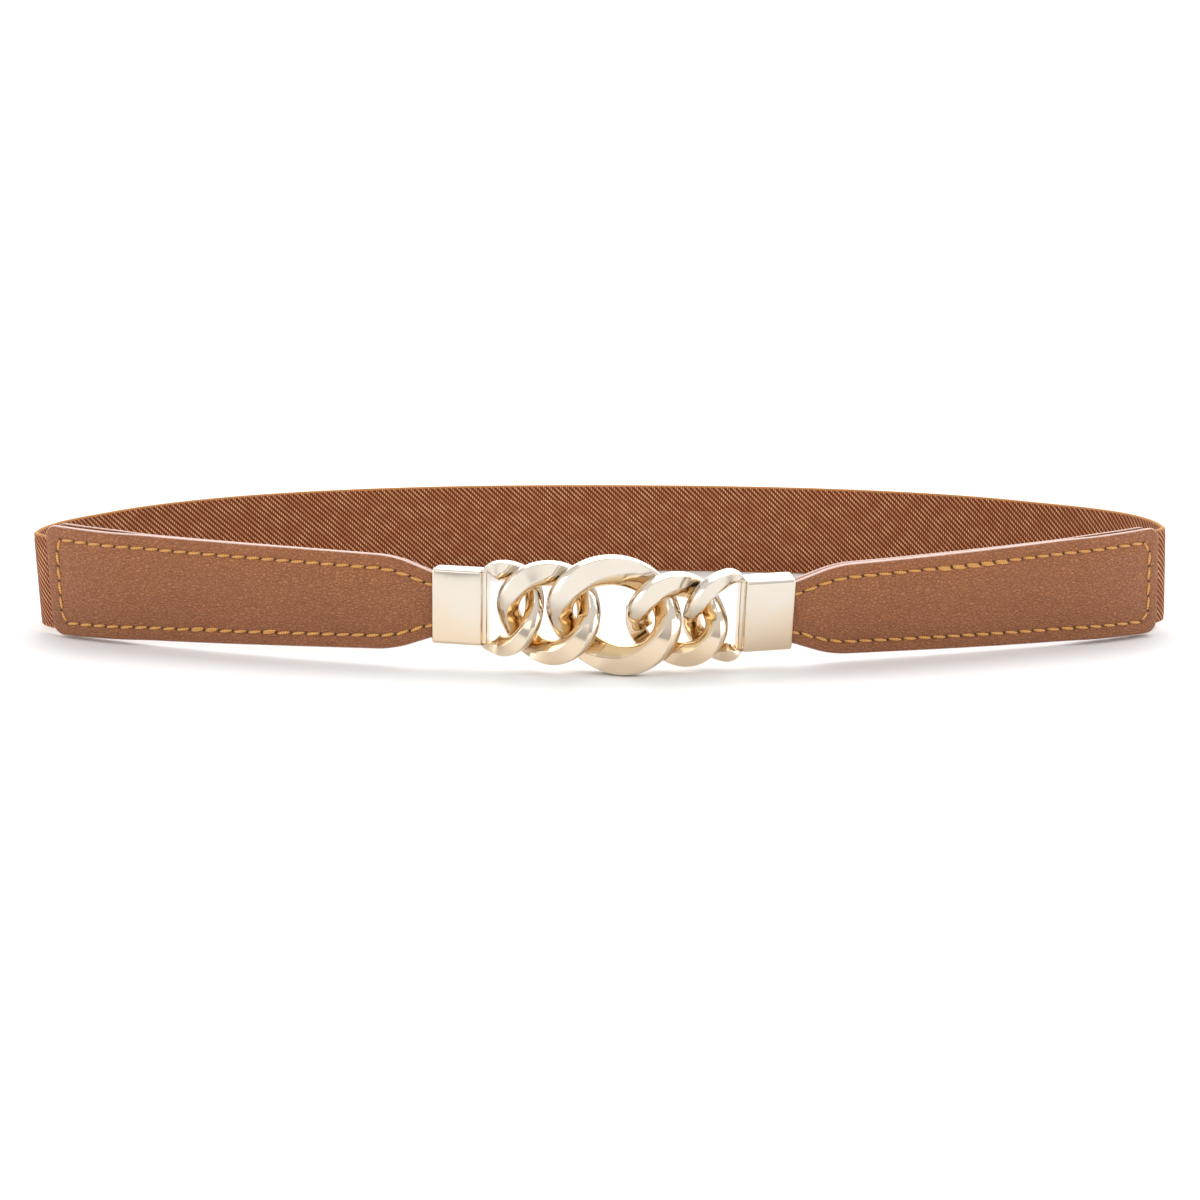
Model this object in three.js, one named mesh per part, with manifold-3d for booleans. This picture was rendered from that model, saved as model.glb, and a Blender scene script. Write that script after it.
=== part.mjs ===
// A stretch waist belt, hooked shut and standing on its lower edge. A woven elastic band runs round the
// back, two stitched leather tabs carry it forward, and a buckle of curb links in light gold metal joins
// the tabs in front. Millimetres, +Z up, -Y to the front. The origin is the middle of the loop, on the
// surface that the belt stands on.
import * as THREE from "three";
import { mergeVertices } from "three/addons/utils/BufferGeometryUtils.js";
import Module from "manifold-3d";

const wasm = await Module();
wasm.setup();

// Driving sizes of the loop
const LOOP_WIDTH = 295.5; // outside of the band, side to side
const LOOP_DEPTH = 117.4; // the links' frontmost edge to the band's back face
const CLEARANCE = 0.3; // between pieces that touch

// Elastic band
const BAND_WIDTH = 25;
const BAND_THICKNESS = 1.5;
const BAND_OVERLAP = 18; // sewn in between the two layers of a tab
const BAND_STEPS = 120;

// Leather tabs: a face and a lining, wide at the band and narrow at the buckle
const FACE_THICKNESS = 1.5;
const LINING_THICKNESS = 1.2;
const TAB_NECK_WIDTH = 16.5;
const TAB_CORNER_RADIUS = 3.5;
const SHOULDER_RADIUS = 25; // the rounding where a tab starts to narrow
const SHOULDER_SLOPE = 0.36; // how fast each edge closes in after it
const LINING_INSET = 0.25; // the lining is cut a little smaller than the face
const LAYER_GAP = 0.3; // between face and lining where no band lies between
const EDGE_CHAMFER = 0.35;
const PARTING_LENGTH = 12; // over which the layers part to let the band in

// End caps: metal boxes that hold the tabs' necks, each with a half link cast on
const CAP_LENGTH = 12.9;
const CAP_HEIGHT = 19;
const CAP_THICKNESS = 6;
const CAP_CORNER = 0.8;
const POCKET_LENGTH = 8;
// The half link: how far it reaches from the cap, where it is highest, its height and its bar
const EYE = { reach: 15.1, crownAt: 4.6, height: 24, endWidth: 4.7, topWidth: 4.9, pull: 0.4 };
const EYE_TURN = { reach: 5.2, drop: 3.4, angle: 75, narrowing: 0.55, dip: 0.4 }; // its turn into the cap's corners
const EYE_SHANK = { length: 1, thickness: 3.4 }; // the straight bar along the cap's end

// Links: outer length and height, the width of their bar at the ends and at the top and bottom, and how
// far the outline draws in where the bar dips behind its neighbour
const CENTRE_LINK = { length: 34.8, height: 31.1, endWidth: 6.7, topWidth: 7.5, pull: 1.7 };
const SIDE_LINK = { length: 26.5, height: 26.3, endWidth: 5.8, topWidth: 6.2, pull: 0.7 };
const HOOK_LINK = { length: 26.6, height: 24.8, endWidth: 5.8, topWidth: 6.2, pull: 1.6 };
// Between two bars that hook into each other, end to end, from left to right along the chain
const LINK_GAPS = { capSide: 1.25, sideCentre: 0.9, centreHook: 1.1, hookCap: 0.8 };
const BAR_DEPTH = 3.5; // front to back
const BAR_SWING = 4.6; // how much further back a bar lies where its neighbour crosses in front
const FRONT_ANGLE = THREE.MathUtils.degToRad(123); // middle of the front stretch at the upper left

// A bar's flat front face, by the angle past the middle of the front stretch. It repeats each half turn.
// dip is a share of BAR_SWING. The face's edges are shares of the bar's width, from its outer side.
const BAR_FACE = [
  { past: -90, dip: 1, outerEdge: 0.2, innerEdge: 0.3 },
  { past: -74, dip: 0.99, outerEdge: 0.06, innerEdge: 0.25 },
  { past: -58, dip: 0.85, outerEdge: 0.04, innerEdge: 0.38 },
  { past: -42, dip: 0.52, outerEdge: 0.04, innerEdge: 0.51 },
  { past: -25, dip: 0.2, outerEdge: 0.05, innerEdge: 0.62 },
  { past: -8, dip: 0.03, outerEdge: 0.08, innerEdge: 0.74 },
  { past: 8, dip: 0, outerEdge: 0.14, innerEdge: 0.82 },
  { past: 25, dip: 0.04, outerEdge: 0.27, innerEdge: 0.79 },
  { past: 38, dip: 0.15, outerEdge: 0.36, innerEdge: 0.7 },
  { past: 52, dip: 0.4, outerEdge: 0.39, innerEdge: 0.54 },
  { past: 68, dip: 0.77, outerEdge: 0.34, innerEdge: 0.4 },
];

// A bar's section behind its face, in shares: across is from the outer side (0) to the face's outer edge
// (1) or from the inner side (0) to the face's inner edge (1), and deep is of BAR_DEPTH
const OUTER_FLANK = [
  { across: 0.4, deep: 0.22 },
  { across: 0, deep: 0.6 },
  { across: 0.15, deep: 1 },
];
const INNER_FLANK = [
  { across: 0.45, deep: 0.2 },
  { across: 0, deep: 0.58 },
  { across: 0.2, deep: 1 },
];

// Hook: the right link is open where the centre link covers it. A flat curved tongue behind carries on a
// little inside its outline.
const HOOK_OPEN_FROM = THREE.MathUtils.degToRad(200);
const HOOK_OPEN_TO = THREE.MathUtils.degToRad(248);
const TONGUE = {
  from: THREE.MathUtils.degToRad(166),
  to: THREE.MathUtils.degToRad(238),
  width: 4.4,
  thickness: 1.9,
  inside: 0.8,
};

// How the chain hangs between the tabs
const CHAIN_SHIFT = 3; // the buckle sits off the middle of the loop
const CHAIN_BOW = 135; // radius of the chain's gentle bow, seen from above

// Each side of the belt: the tab's length in view and its width at the wide end and at the shoulder; the
// height of the wide end's and the cap's middle and the outward lean of each; how much lower than the
// tab's middle the band is sewn in; then the loop's curve: where it is widest (bendY), how far its handles
// reach there to the front and to the back, at the neck and at the back, and the length over which the
// band comes down onto the surface behind the tab
const SIDES = {
  left: {
    tab: 105.2,
    endWidth: 29.6,
    shoulderWidth: 23.9,
    endHeight: 15.6,
    capHeight: 16.1,
    endLean: 2.5,
    capLean: -3,
    bandDrop: 1.6,
    bendY: -9.5,
    bendFront: 13,
    bendBack: 30,
    neckHandle: 40,
    backHandle: 105,
    settle: 45,
  },
  right: {
    tab: 101.9,
    endWidth: 28,
    shoulderWidth: 24.2,
    endHeight: 14.9,
    capHeight: 14.4,
    endLean: -1.8,
    capLean: 9,
    bandDrop: 0,
    bendY: -8,
    bendFront: 13,
    bendBack: 31,
    neckHandle: 40,
    backHandle: 118,
    settle: 65,
  },
};
const LINK_HEIGHTS = { side: 15.4, centre: 15.1, hook: 13.9 }; // of the links' middles
const LINK_LEANS = { side: -2, centre: 0, hook: 3 };
const LEAN_REACH = 0.48; // by which the leaning hook link stands out in front of the centre link
const BACK_APEX_X = -5; // where the band lies furthest back

const MATERIALS = {
  band: new THREE.MeshStandardMaterial({ color: 0x9c6238, roughness: 0.9, metalness: 0 }),
  leather: new THREE.MeshStandardMaterial({ color: 0x9b6647, roughness: 0.5, metalness: 0 }),
  gold: new THREE.MeshStandardMaterial({ color: 0xe9d2ac, roughness: 0.18, metalness: 1 }),
};

const rad = THREE.MathUtils.degToRad;
const lerp = THREE.MathUtils.lerp;
const smoothstep = THREE.MathUtils.smoothstep;

// A closed geometry from rings of points, each ring with as many points, joined in a row. The ends are
// closed with fans, unless the rows join into a torus.
function loft(rings, joined = false) {
  const count = rings[0].length;
  const positions = rings.flat().flatMap((p) => [p.x, p.y, p.z]);
  const faces = [];
  const rows = joined ? rings.length : rings.length - 1;
  for (let i = 0; i < rows; i++) {
    const next = (i + 1) % rings.length;
    for (let j = 0; j < count; j++) {
      const k = (j + 1) % count;
      const [a, b, c, d] = [i * count + j, i * count + k, next * count + k, next * count + j];
      faces.push(a, b, c, a, c, d);
    }
  }
  if (!joined) {
    const last = (rings.length - 1) * count;
    for (let j = 1; j < count - 1; j++) {
      faces.push(0, j + 1, j);
      faces.push(last, last + j, last + j + 1);
    }
  }
  const geometry = new THREE.BufferGeometry();
  geometry.setAttribute("position", new THREE.Float32BufferAttribute(positions, 3));
  geometry.setIndex(faces);
  return geometry;
}

function solidOf(geometry) {
  const bare = geometry.clone();
  bare.deleteAttribute("normal");
  bare.deleteAttribute("uv");
  const merged = mergeVertices(bare, 1e-4);
  return new wasm.Manifold(
    new wasm.Mesh({
      numProp: 3,
      vertProperties: merged.attributes.position.array,
      triVerts: new Uint32Array(merged.index.array),
    }),
  );
}

function geometryOf(solid) {
  const mesh = solid.getMesh();
  const geometry = new THREE.BufferGeometry();
  geometry.setAttribute("position", new THREE.BufferAttribute(mesh.vertProperties, 3));
  geometry.setIndex(new THREE.BufferAttribute(mesh.triVerts, 1));
  return geometry;
}

const boxAt = (width, depth, height, x, y, z) =>
  solidOf(new THREE.BoxGeometry(width, depth, height).translate(x, y, z));

// The chain's bow, seen from above: a place on it by its distance from the centre link's middle
const LINK_THICKNESS = BAR_DEPTH + BAR_SWING;
const chainY = -LOOP_DEPTH / 2 + LEAN_REACH + LINK_THICKNESS / 2;
function chainPlace(along) {
  const angle = along / CHAIN_BOW;
  return {
    x: CHAIN_SHIFT + CHAIN_BOW * Math.sin(angle),
    y: chainY + CHAIN_BOW * (1 - Math.cos(angle)),
    angle,
  };
}

const END_DIP = 0.45; // share of a link's pull at its very ends

// How far a link reaches from its middle, or the half link from the cap
const reachOf = (link) => link.reach ?? link.length / 2;

// The rows of BAR_FACE round an angle, blended along a smooth curve through them
function faceAt(angle) {
  const past = THREE.MathUtils.euclideanModulo(THREE.MathUtils.radToDeg(angle - FRONT_ANGLE) + 90, 180) - 90;
  const count = BAR_FACE.length;
  const row = (i) => {
    const turn = Math.floor(i / count);
    const entry = BAR_FACE[i - turn * count];
    return { ...entry, past: entry.past + 180 * turn };
  };
  const i = BAR_FACE.findLastIndex((entry) => entry.past <= past);
  const [r0, r1, r2, r3] = [row(i - 1), row(i), row(i + 1), row(i + 2)];
  const span = r2.past - r1.past;
  const u = (past - r1.past) / span;
  const blend = (key) => {
    const slope1 = ((r2[key] - r0[key]) / (r2.past - r0.past)) * span;
    const slope2 = ((r3[key] - r1[key]) / (r3.past - r1.past)) * span;
    const [u2, u3] = [u * u, u * u * u];
    const ends = (2 * u3 - 3 * u2 + 1) * r1[key] + (3 * u2 - 2 * u3) * r2[key];
    return ends + (u3 - 2 * u2 + u) * slope1 + (u3 - u2) * slope2;
  };
  return { dip: blend("dip"), outerEdge: blend("outerEdge"), innerEdge: blend("innerEdge") };
}

// The outline at an angle round a link: its place, its outward normal, and how far it has turned into the
// cap's corner, from 0 to 1. A link's outline is an ellipse. The half link's is half of one, and past its
// crown it turns into the cap's corner along a smaller one.
function outlineAt(link, angle) {
  const [a, b, x0] = [reachOf(link) - (link.crownAt ?? 0), link.height / 2, link.crownAt ?? 0];
  const pastCrown = Math.abs(angle) - Math.PI / 2;
  if (link.crownAt === undefined || pastCrown <= 0) {
    const outward = new THREE.Vector2(Math.cos(angle) / a, Math.sin(angle) / b).normalize();
    return { place: new THREE.Vector2(x0 + a * Math.cos(angle), b * Math.sin(angle)), outward, turned: 0 };
  }
  const { reach, drop } = EYE_TURN;
  const turn = 2 * pastCrown;
  const up = Math.sign(angle);
  return {
    place: new THREE.Vector2(x0 - reach * Math.sin(turn), up * (b - drop + drop * Math.cos(turn))),
    outward: new THREE.Vector2(-Math.sin(turn) / reach, (up * Math.cos(turn)) / drop).normalize(),
    turned: turn / rad(EYE_TURN.angle),
  };
}

// The bar's section at an angle round a link, as [in from the outer side, back from the front]
function barSection(link, angle, turned) {
  const { dip: tableDip, outerEdge, innerEdge } = faceAt(angle);
  const dip = lerp(tableDip, EYE_TURN.dip, smoothstep(turned, 0, 1));
  const narrowing = 1 - EYE_TURN.narrowing * smoothstep(turned, 0.25, 1);
  const width = lerp(link.endWidth, link.topWidth, Math.sin(angle) ** 2) * narrowing;
  const outer = OUTER_FLANK.map(({ across, deep }) => [across * outerEdge, deep]);
  const inner = INNER_FLANK.map(({ across, deep }) => [1 - across * (1 - innerEdge), deep]);
  const corners = [[outerEdge, 0], ...outer, ...inner.reverse(), [innerEdge, 0]];
  return corners.map(([across, deep]) => [across * width + dip * link.pull, deep * BAR_DEPTH + dip * BAR_SWING]);
}

// Part of a link, swept from one angle to another about its middle
function sweepLink(link, from, to, steps) {
  const joined = Math.abs(to - from - 2 * Math.PI) < 1e-9;
  const rings = [];
  for (let i = 0; i < (joined ? steps : steps + 1); i++) {
    const t = lerp(from, to, i / steps);
    const { place, outward, turned } = outlineAt(link, t);
    rings.push(
      barSection(link, t, turned).map(
        ([inset, back]) =>
          new THREE.Vector3(place.x - inset * outward.x, back - LINK_THICKNESS / 2, place.y - inset * outward.y),
      ),
    );
  }
  return solidOf(loft(rings, joined));
}

// Distances along the chain: two bars that hook into each other lie side by side with a small gap
const barShare = ({ endWidth, pull }) => endWidth + pull * END_DIP;
const stepBetween = (link, next, gap) => reachOf(link) + reachOf(next) - barShare(link) - barShare(next) - gap;
const sideAlong = -stepBetween(CENTRE_LINK, SIDE_LINK, LINK_GAPS.sideCentre);
const hookAlong = stepBetween(CENTRE_LINK, HOOK_LINK, LINK_GAPS.centreHook);
const capAlong = {
  left: sideAlong - stepBetween(SIDE_LINK, EYE, LINK_GAPS.capSide),
  right: hookAlong + stepBetween(HOOK_LINK, EYE, LINK_GAPS.hookCap),
};

// The loop's middle line seen from above, from the left cap round the back to the right cap. It is
// straight inside the caps.
function sidePoints(side, sign, capPlace) {
  const cap = chainPlace(capPlace);
  const along = new THREE.Vector2(Math.cos(cap.angle), Math.sin(cap.angle)).multiplyScalar(sign);
  const start = new THREE.Vector2(cap.x, cap.y);
  const at = (distance) => start.clone().addScaledVector(along, distance);
  const bendX = sign * (LOOP_WIDTH / 2 - BAND_THICKNESS / 2);
  const backY = LOOP_DEPTH / 2 - BAND_THICKNESS / 2;
  return {
    pocket: at(CAP_LENGTH - POCKET_LENGTH),
    mouth: at(CAP_LENGTH),
    neck: at(CAP_LENGTH + side.neckHandle),
    bendFront: new THREE.Vector2(bendX, side.bendY - side.bendFront),
    bend: new THREE.Vector2(bendX, side.bendY),
    bendBack: new THREE.Vector2(bendX, side.bendY + side.bendBack),
    back: new THREE.Vector2(BACK_APEX_X + sign * side.backHandle, backY),
    apex: new THREE.Vector2(BACK_APEX_X, backY),
  };
}
const left = sidePoints(SIDES.left, -1, capAlong.left);
const right = sidePoints(SIDES.right, 1, capAlong.right);
const loop = new THREE.CurvePath();
loop.add(new THREE.LineCurve(left.pocket, left.mouth));
loop.add(new THREE.CubicBezierCurve(left.mouth, left.neck, left.bendFront, left.bend));
loop.add(new THREE.CubicBezierCurve(left.bend, left.bendBack, left.back, left.apex));
loop.add(new THREE.CubicBezierCurve(right.apex, right.back, right.bendBack, right.bend));
loop.add(new THREE.CubicBezierCurve(right.bend, right.bendFront, right.neck, right.mouth));
loop.add(new THREE.LineCurve(right.mouth, right.pocket));
const LOOP_LENGTH = loop.getLength();
const leftTabEnd = POCKET_LENGTH + SIDES.left.tab;
const rightTabEnd = LOOP_LENGTH - POCKET_LENGTH - SIDES.right.tab;

// Height of the middle line and its outward lean, at a distance along the loop. The band lies lower than
// the tab's middle by drop.
function poseAt(distance) {
  const fromRight = LOOP_LENGTH - distance;
  const onLeft = distance < LOOP_LENGTH / 2;
  const side = onLeft ? SIDES.left : SIDES.right;
  const fromCap = (onLeft ? distance : fromRight) - POCKET_LENGTH;
  const toEnd = smoothstep(fromCap, 0, side.tab);
  const settled = smoothstep(fromCap, side.tab, side.tab + side.settle);
  const tabHeight = lerp(side.capHeight, side.endHeight, toEnd);
  return {
    height: lerp(tabHeight, BAND_WIDTH / 2, settled),
    lean: rad(lerp(side.capLean, side.endLean, toEnd)) * (1 - settled),
    drop: side.bandDrop * (1 - settled),
  };
}

// Axes at a distance along the loop: along it, out of the loop and up
function frameAt(distance) {
  const u = THREE.MathUtils.clamp(distance / LOOP_LENGTH, 0, 1);
  const place = loop.getPoint(u);
  const tangent = loop.getTangent(u);
  const { height, lean } = poseAt(distance);
  const flatOut = new THREE.Vector3(-tangent.y, tangent.x, 0);
  const vertical = new THREE.Vector3(0, 0, 1);
  return {
    origin: new THREE.Vector3(place.x, place.y, height),
    along: new THREE.Vector3(tangent.x, tangent.y, 0),
    up: vertical.clone().multiplyScalar(Math.cos(lean)).addScaledVector(flatOut, Math.sin(lean)),
    out: flatOut.clone().multiplyScalar(Math.cos(lean)).addScaledVector(vertical, -Math.sin(lean)),
  };
}

// A strip along the loop. corners(distance) gives its section there, as [up, out] from the middle line.
function strip(distances, corners) {
  return loft(
    distances.map((distance) => {
      const frame = frameAt(distance);
      return corners(distance).map(([up, out]) =>
        frame.origin.clone().addScaledVector(frame.up, up).addScaledVector(frame.out, out),
      );
    }),
  );
}

const spaced = (from, to, steps) => Array.from({ length: steps + 1 }, (_, i) => lerp(from, to, i / steps));

// Half of a tab's width at a distance from its wide end: rounded corners, a slow taper, then a rounded
// shoulder and a straight run down to the neck
function tabHalfWidth(fromEnd, side) {
  const [halfEnd, halfShoulder, halfNeck] = [side.endWidth / 2, side.shoulderWidth / 2, TAB_NECK_WIDTH / 2];
  const turn = Math.atan(SHOULDER_SLOPE);
  const tangentLength = SHOULDER_RADIUS * Math.tan(turn / 2);
  const vertex = side.tab - (halfShoulder - halfNeck) / SHOULDER_SLOPE;
  const taper = lerp(halfEnd, halfShoulder, Math.min(1, fromEnd / vertex));
  const intoTurn = fromEnd - (vertex - tangentLength);
  const arcLength = SHOULDER_RADIUS * Math.sin(turn);
  let half = taper;
  if (intoTurn > arcLength) half = halfShoulder - (fromEnd - vertex) * SHOULDER_SLOPE;
  else if (intoTurn > 0) half = taper - (SHOULDER_RADIUS - Math.sqrt(SHOULDER_RADIUS ** 2 - intoTurn ** 2));
  const intoCorner = TAB_CORNER_RADIUS - fromEnd;
  if (intoCorner > 0) half -= TAB_CORNER_RADIUS - Math.sqrt(TAB_CORNER_RADIUS ** 2 - intoCorner ** 2);
  return Math.max(half, halfNeck);
}

// Distances from a tab's wide end at which its outline needs a section
function tabStations(side, inset) {
  const corner = [0, 0.08, 0.3, 0.65, 1].map((share) => share * TAB_CORNER_RADIUS + inset);
  const shoulderStart = side.tab - (side.shoulderWidth - TAB_NECK_WIDTH) / 2 / SHOULDER_SLOPE - 5;
  return [
    ...corner,
    ...spaced(corner.at(-1), shoulderStart, 16).slice(1),
    ...spaced(shoulderStart, side.tab, 7).slice(1),
    ...spaced(side.tab, side.tab + POCKET_LENGTH - CLEARANCE, 2).slice(1),
  ];
}

// One layer of a tab. near and thickness place it out from the middle line (sign 1) or in (sign -1); it
// stands further off where the band lies between the layers.
function tabLayer(sideName, sign, thickness, inset) {
  const side = SIDES[sideName];
  const toLoop = (fromEnd) => (sideName === "left" ? leftTabEnd - fromEnd : rightTabEnd + fromEnd);
  const corners = (fromEnd) => {
    const half = tabHalfWidth(fromEnd - inset, side) - inset;
    const parted = 1 - smoothstep(fromEnd, BAND_OVERLAP, BAND_OVERLAP + PARTING_LENGTH);
    const near = lerp(LAYER_GAP / 2, BAND_THICKNESS / 2 + CLEARANCE, parted);
    const far = near + thickness;
    const outline = [
      [-half, near],
      [-half, far - EDGE_CHAMFER],
      [-half + EDGE_CHAMFER, far],
      [half - EDGE_CHAMFER, far],
      [half, far - EDGE_CHAMFER],
      [half, near],
    ].map(([up, out]) => [up, sign * out]);
    return sign > 0 ? outline : outline.reverse();
  };
  const fromEnds = tabStations(side, inset);
  const ordered = sideName === "left" ? fromEnds.toReversed() : fromEnds;
  const byLoop = new Map(ordered.map((d) => [toLoop(d), d]));
  return strip([...byLoop.keys()], (distance) => corners(byLoop.get(distance)));
}

// The elastic band, from inside one tab round the back to inside the other
function bandGeometry() {
  const [half, out] = [BAND_WIDTH / 2, BAND_THICKNESS / 2];
  const section = (distance) => {
    const { drop } = poseAt(distance);
    return [
      [-half - drop, -out],
      [-half - drop, out],
      [half - drop, out],
      [half - drop, -out],
    ];
  };
  return strip(spaced(leftTabEnd - BAND_OVERLAP, rightTabEnd + BAND_OVERLAP, BAND_STEPS), section);
}

// A cap in its own frame: x to the right along the chain, y back, z up, its inner end at x = 0 and the
// half link standing out to the right
function capGeometry() {
  const [l, h, r] = [CAP_LENGTH / 2 - CAP_CORNER, CAP_HEIGHT / 2 - CAP_CORNER, CAP_CORNER];
  const outline = new THREE.Shape();
  outline.moveTo(-l, -h - r);
  outline.lineTo(l, -h - r);
  outline.absarc(l, -h, r, -Math.PI / 2, 0);
  outline.lineTo(l + r, h);
  outline.absarc(l, h, r, 0, Math.PI / 2);
  outline.lineTo(-l, h + r);
  outline.absarc(-l, h, r, Math.PI / 2, Math.PI);
  outline.lineTo(-l - r, -h);
  outline.absarc(-l, -h, r, Math.PI, 1.5 * Math.PI);
  const bevel = CAP_CORNER * 0.6;
  const block = new THREE.ExtrudeGeometry(outline, {
    depth: CAP_THICKNESS - 2 * bevel,
    curveSegments: 2,
    bevelEnabled: true,
    bevelThickness: bevel,
    bevelSize: bevel,
    bevelOffset: -bevel,
    bevelSegments: 2,
  });
  block.translate(-CAP_LENGTH / 2, 0, -CAP_THICKNESS / 2 + bevel).rotateX(Math.PI / 2);
  const layers = LAYER_GAP + FACE_THICKNESS + LINING_THICKNESS;
  const pocket = boxAt(
    POCKET_LENGTH * 2,
    layers + 2 * CLEARANCE,
    TAB_NECK_WIDTH + 2 * CLEARANCE,
    -CAP_LENGTH,
    -(FACE_THICKNESS - LINING_THICKNESS) / 2,
    0,
  );
  const eyeEnd = rad(90 + EYE_TURN.angle / 2);
  const rim = sweepLink(EYE, -eyeEnd, eyeEnd, 36);
  const shank = boxAt(2 * EYE_SHANK.length, EYE_SHANK.thickness, EYE.height - EYE.topWidth, 0, 0, 0);
  return geometryOf(solidOf(block).add(rim).add(shank).subtract(pocket));
}

const linkGeometry = (link) => geometryOf(sweepLink(link, 0, 2 * Math.PI, 60));

// The right link: open where the centre link hides it, with a flat tongue behind its left end that the
// centre link's bar is hooked over
function hookGeometry() {
  const ring = sweepLink(HOOK_LINK, HOOK_OPEN_TO - 2 * Math.PI, HOOK_OPEN_FROM, 52);
  const { from, to, width, thickness, inside } = TONGUE;
  const [a, b] = [HOOK_LINK.length / 2 - inside, HOOK_LINK.height / 2 - inside];
  const tongue = new THREE.Shape();
  tongue.absellipse(0, 0, a, b, from, to, false);
  tongue.absellipse(0, 0, a - width, b - width, to, from, true);
  tongue.closePath();
  const plate = new THREE.ExtrudeGeometry(tongue, { depth: thickness, curveSegments: 14, bevelEnabled: false });
  plate.rotateX(Math.PI / 2).translate(0, LINK_THICKNESS / 2, 0);
  return geometryOf(ring.add(solidOf(plate)));
}

// A named mesh
function piece(name, geometry, material) {
  const mesh = new THREE.Mesh(geometry, material);
  mesh.name = name;
  return mesh;
}

// Sets a piece on the chain's bow: turned with it, and leaning forward
function onChain(mesh, along, height, leanDegrees) {
  const place = chainPlace(along);
  mesh.rotation.set(rad(leanDegrees), 0, place.angle, "ZXY");
  mesh.position.set(place.x, place.y, height);
  return mesh;
}

const belt = new THREE.Group();
belt.add(piece("elastic_band", bandGeometry(), MATERIALS.band));
for (const side of ["left", "right"]) {
  belt.add(piece(`tab_face_${side}`, tabLayer(side, 1, FACE_THICKNESS, 0), MATERIALS.leather));
  belt.add(piece(`tab_lining_${side}`, tabLayer(side, -1, LINING_THICKNESS, LINING_INSET), MATERIALS.leather));
}
const cap = capGeometry();
const mirroredCap = cap.clone().rotateY(Math.PI);
belt.add(onChain(piece("end_cap_left", cap, MATERIALS.gold), capAlong.left, SIDES.left.capHeight, SIDES.left.capLean));
belt.add(
  onChain(piece("end_cap_right", mirroredCap, MATERIALS.gold), capAlong.right, SIDES.right.capHeight, SIDES.right.capLean),
);
belt.add(
  onChain(piece("side_link", linkGeometry(SIDE_LINK), MATERIALS.gold), sideAlong, LINK_HEIGHTS.side, LINK_LEANS.side),
);
belt.add(
  onChain(piece("centre_link", linkGeometry(CENTRE_LINK), MATERIALS.gold), 0, LINK_HEIGHTS.centre, LINK_LEANS.centre),
);
belt.add(onChain(piece("hook_link", hookGeometry(), MATERIALS.gold), hookAlong, LINK_HEIGHTS.hook, LINK_LEANS.hook));

export default belt;
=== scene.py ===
"""A stretch waist belt, hooked shut and standing on its lower edge: woven elastic, stitched tabs, link buckle."""

import logging
import math
from dataclasses import dataclass, field, replace
from enum import Enum

import bpy
import numpy as np
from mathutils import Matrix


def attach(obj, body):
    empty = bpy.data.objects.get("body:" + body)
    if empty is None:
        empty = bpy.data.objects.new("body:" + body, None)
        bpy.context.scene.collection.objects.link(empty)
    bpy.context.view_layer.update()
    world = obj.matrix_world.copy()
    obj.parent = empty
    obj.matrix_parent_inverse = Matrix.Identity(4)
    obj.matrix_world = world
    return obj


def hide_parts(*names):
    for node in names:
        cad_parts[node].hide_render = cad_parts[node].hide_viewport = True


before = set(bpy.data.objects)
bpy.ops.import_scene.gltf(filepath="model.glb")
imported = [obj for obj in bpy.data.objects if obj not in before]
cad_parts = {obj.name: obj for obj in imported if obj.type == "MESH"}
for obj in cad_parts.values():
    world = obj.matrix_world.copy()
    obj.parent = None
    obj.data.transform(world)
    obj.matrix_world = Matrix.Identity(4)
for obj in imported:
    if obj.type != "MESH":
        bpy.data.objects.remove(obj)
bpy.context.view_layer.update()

LOG = logging.getLogger("belt")
MM = 0.001
Array = np.ndarray
Rgb = tuple[float, float, float]
Place = tuple[float, float, float]
Socket = bpy.types.NodeSocket
Inputs = dict[str | int, Socket | float | Rgb]


def smooth(x: Array, low: float, high: float) -> Array:
    """A soft step: 0 below low, 1 above high, and 3u^2 - 2u^3 between them.

    Args:
        x: The values to step.
        low: Where the step starts.
        high: Where it ends.

    Returns:
        The stepped values, in the shape of x.
    """
    u = np.clip((x - low) / (high - low), 0, 1)
    return u * u * (3 - 2 * u)


def linear(red: int, green: int, blue: int) -> Rgb:
    """A screen colour, 0 to 255 a channel, as the linear light that shaders take.

    Args:
        red: Red channel.
        green: Green channel.
        blue: Blue channel.

    Returns:
        The three linear values.
    """
    channels = [c / 255 for c in (red, green, blue)]
    return tuple(c / 12.92 if c <= 0.04045 else ((c + 0.055) / 1.055) ** 2.4 for c in channels)


def rounded_rectangle(half_x: Array | float, half_y: Array | float, radius: Array | float, steps: int) -> Array:
    """Points round a rectangle with round corners, as many on each corner, anticlockwise from the lower right.

    Each corner is a quarter circle about a centre that lies one radius inside both sides.

    Args:
        half_x: Half width, one value a row or one for a single row.
        half_y: Half height, likewise.
        radius: Corner radius, likewise.
        steps: Points on each corner.

    Returns:
        Array (rows, 4 * steps, 2).
    """
    half_x, half_y, radius = (np.atleast_1d(np.asarray(v, float)) for v in (half_x, half_y, radius))
    turn = np.linspace(0, np.pi / 2, steps)
    corners = []
    for quarter, (sx, sy) in enumerate([(1, -1), (1, 1), (-1, 1), (-1, -1)]):
        angle = turn + (quarter - 1) * np.pi / 2
        x = sx * (half_x - radius)[:, None] + radius[:, None] * np.cos(angle)
        y = sy * (half_y - radius)[:, None] + radius[:, None] * np.sin(angle)
        corners.append(np.stack([x, y], axis=-1))
    return np.concatenate(corners, axis=1)


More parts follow.
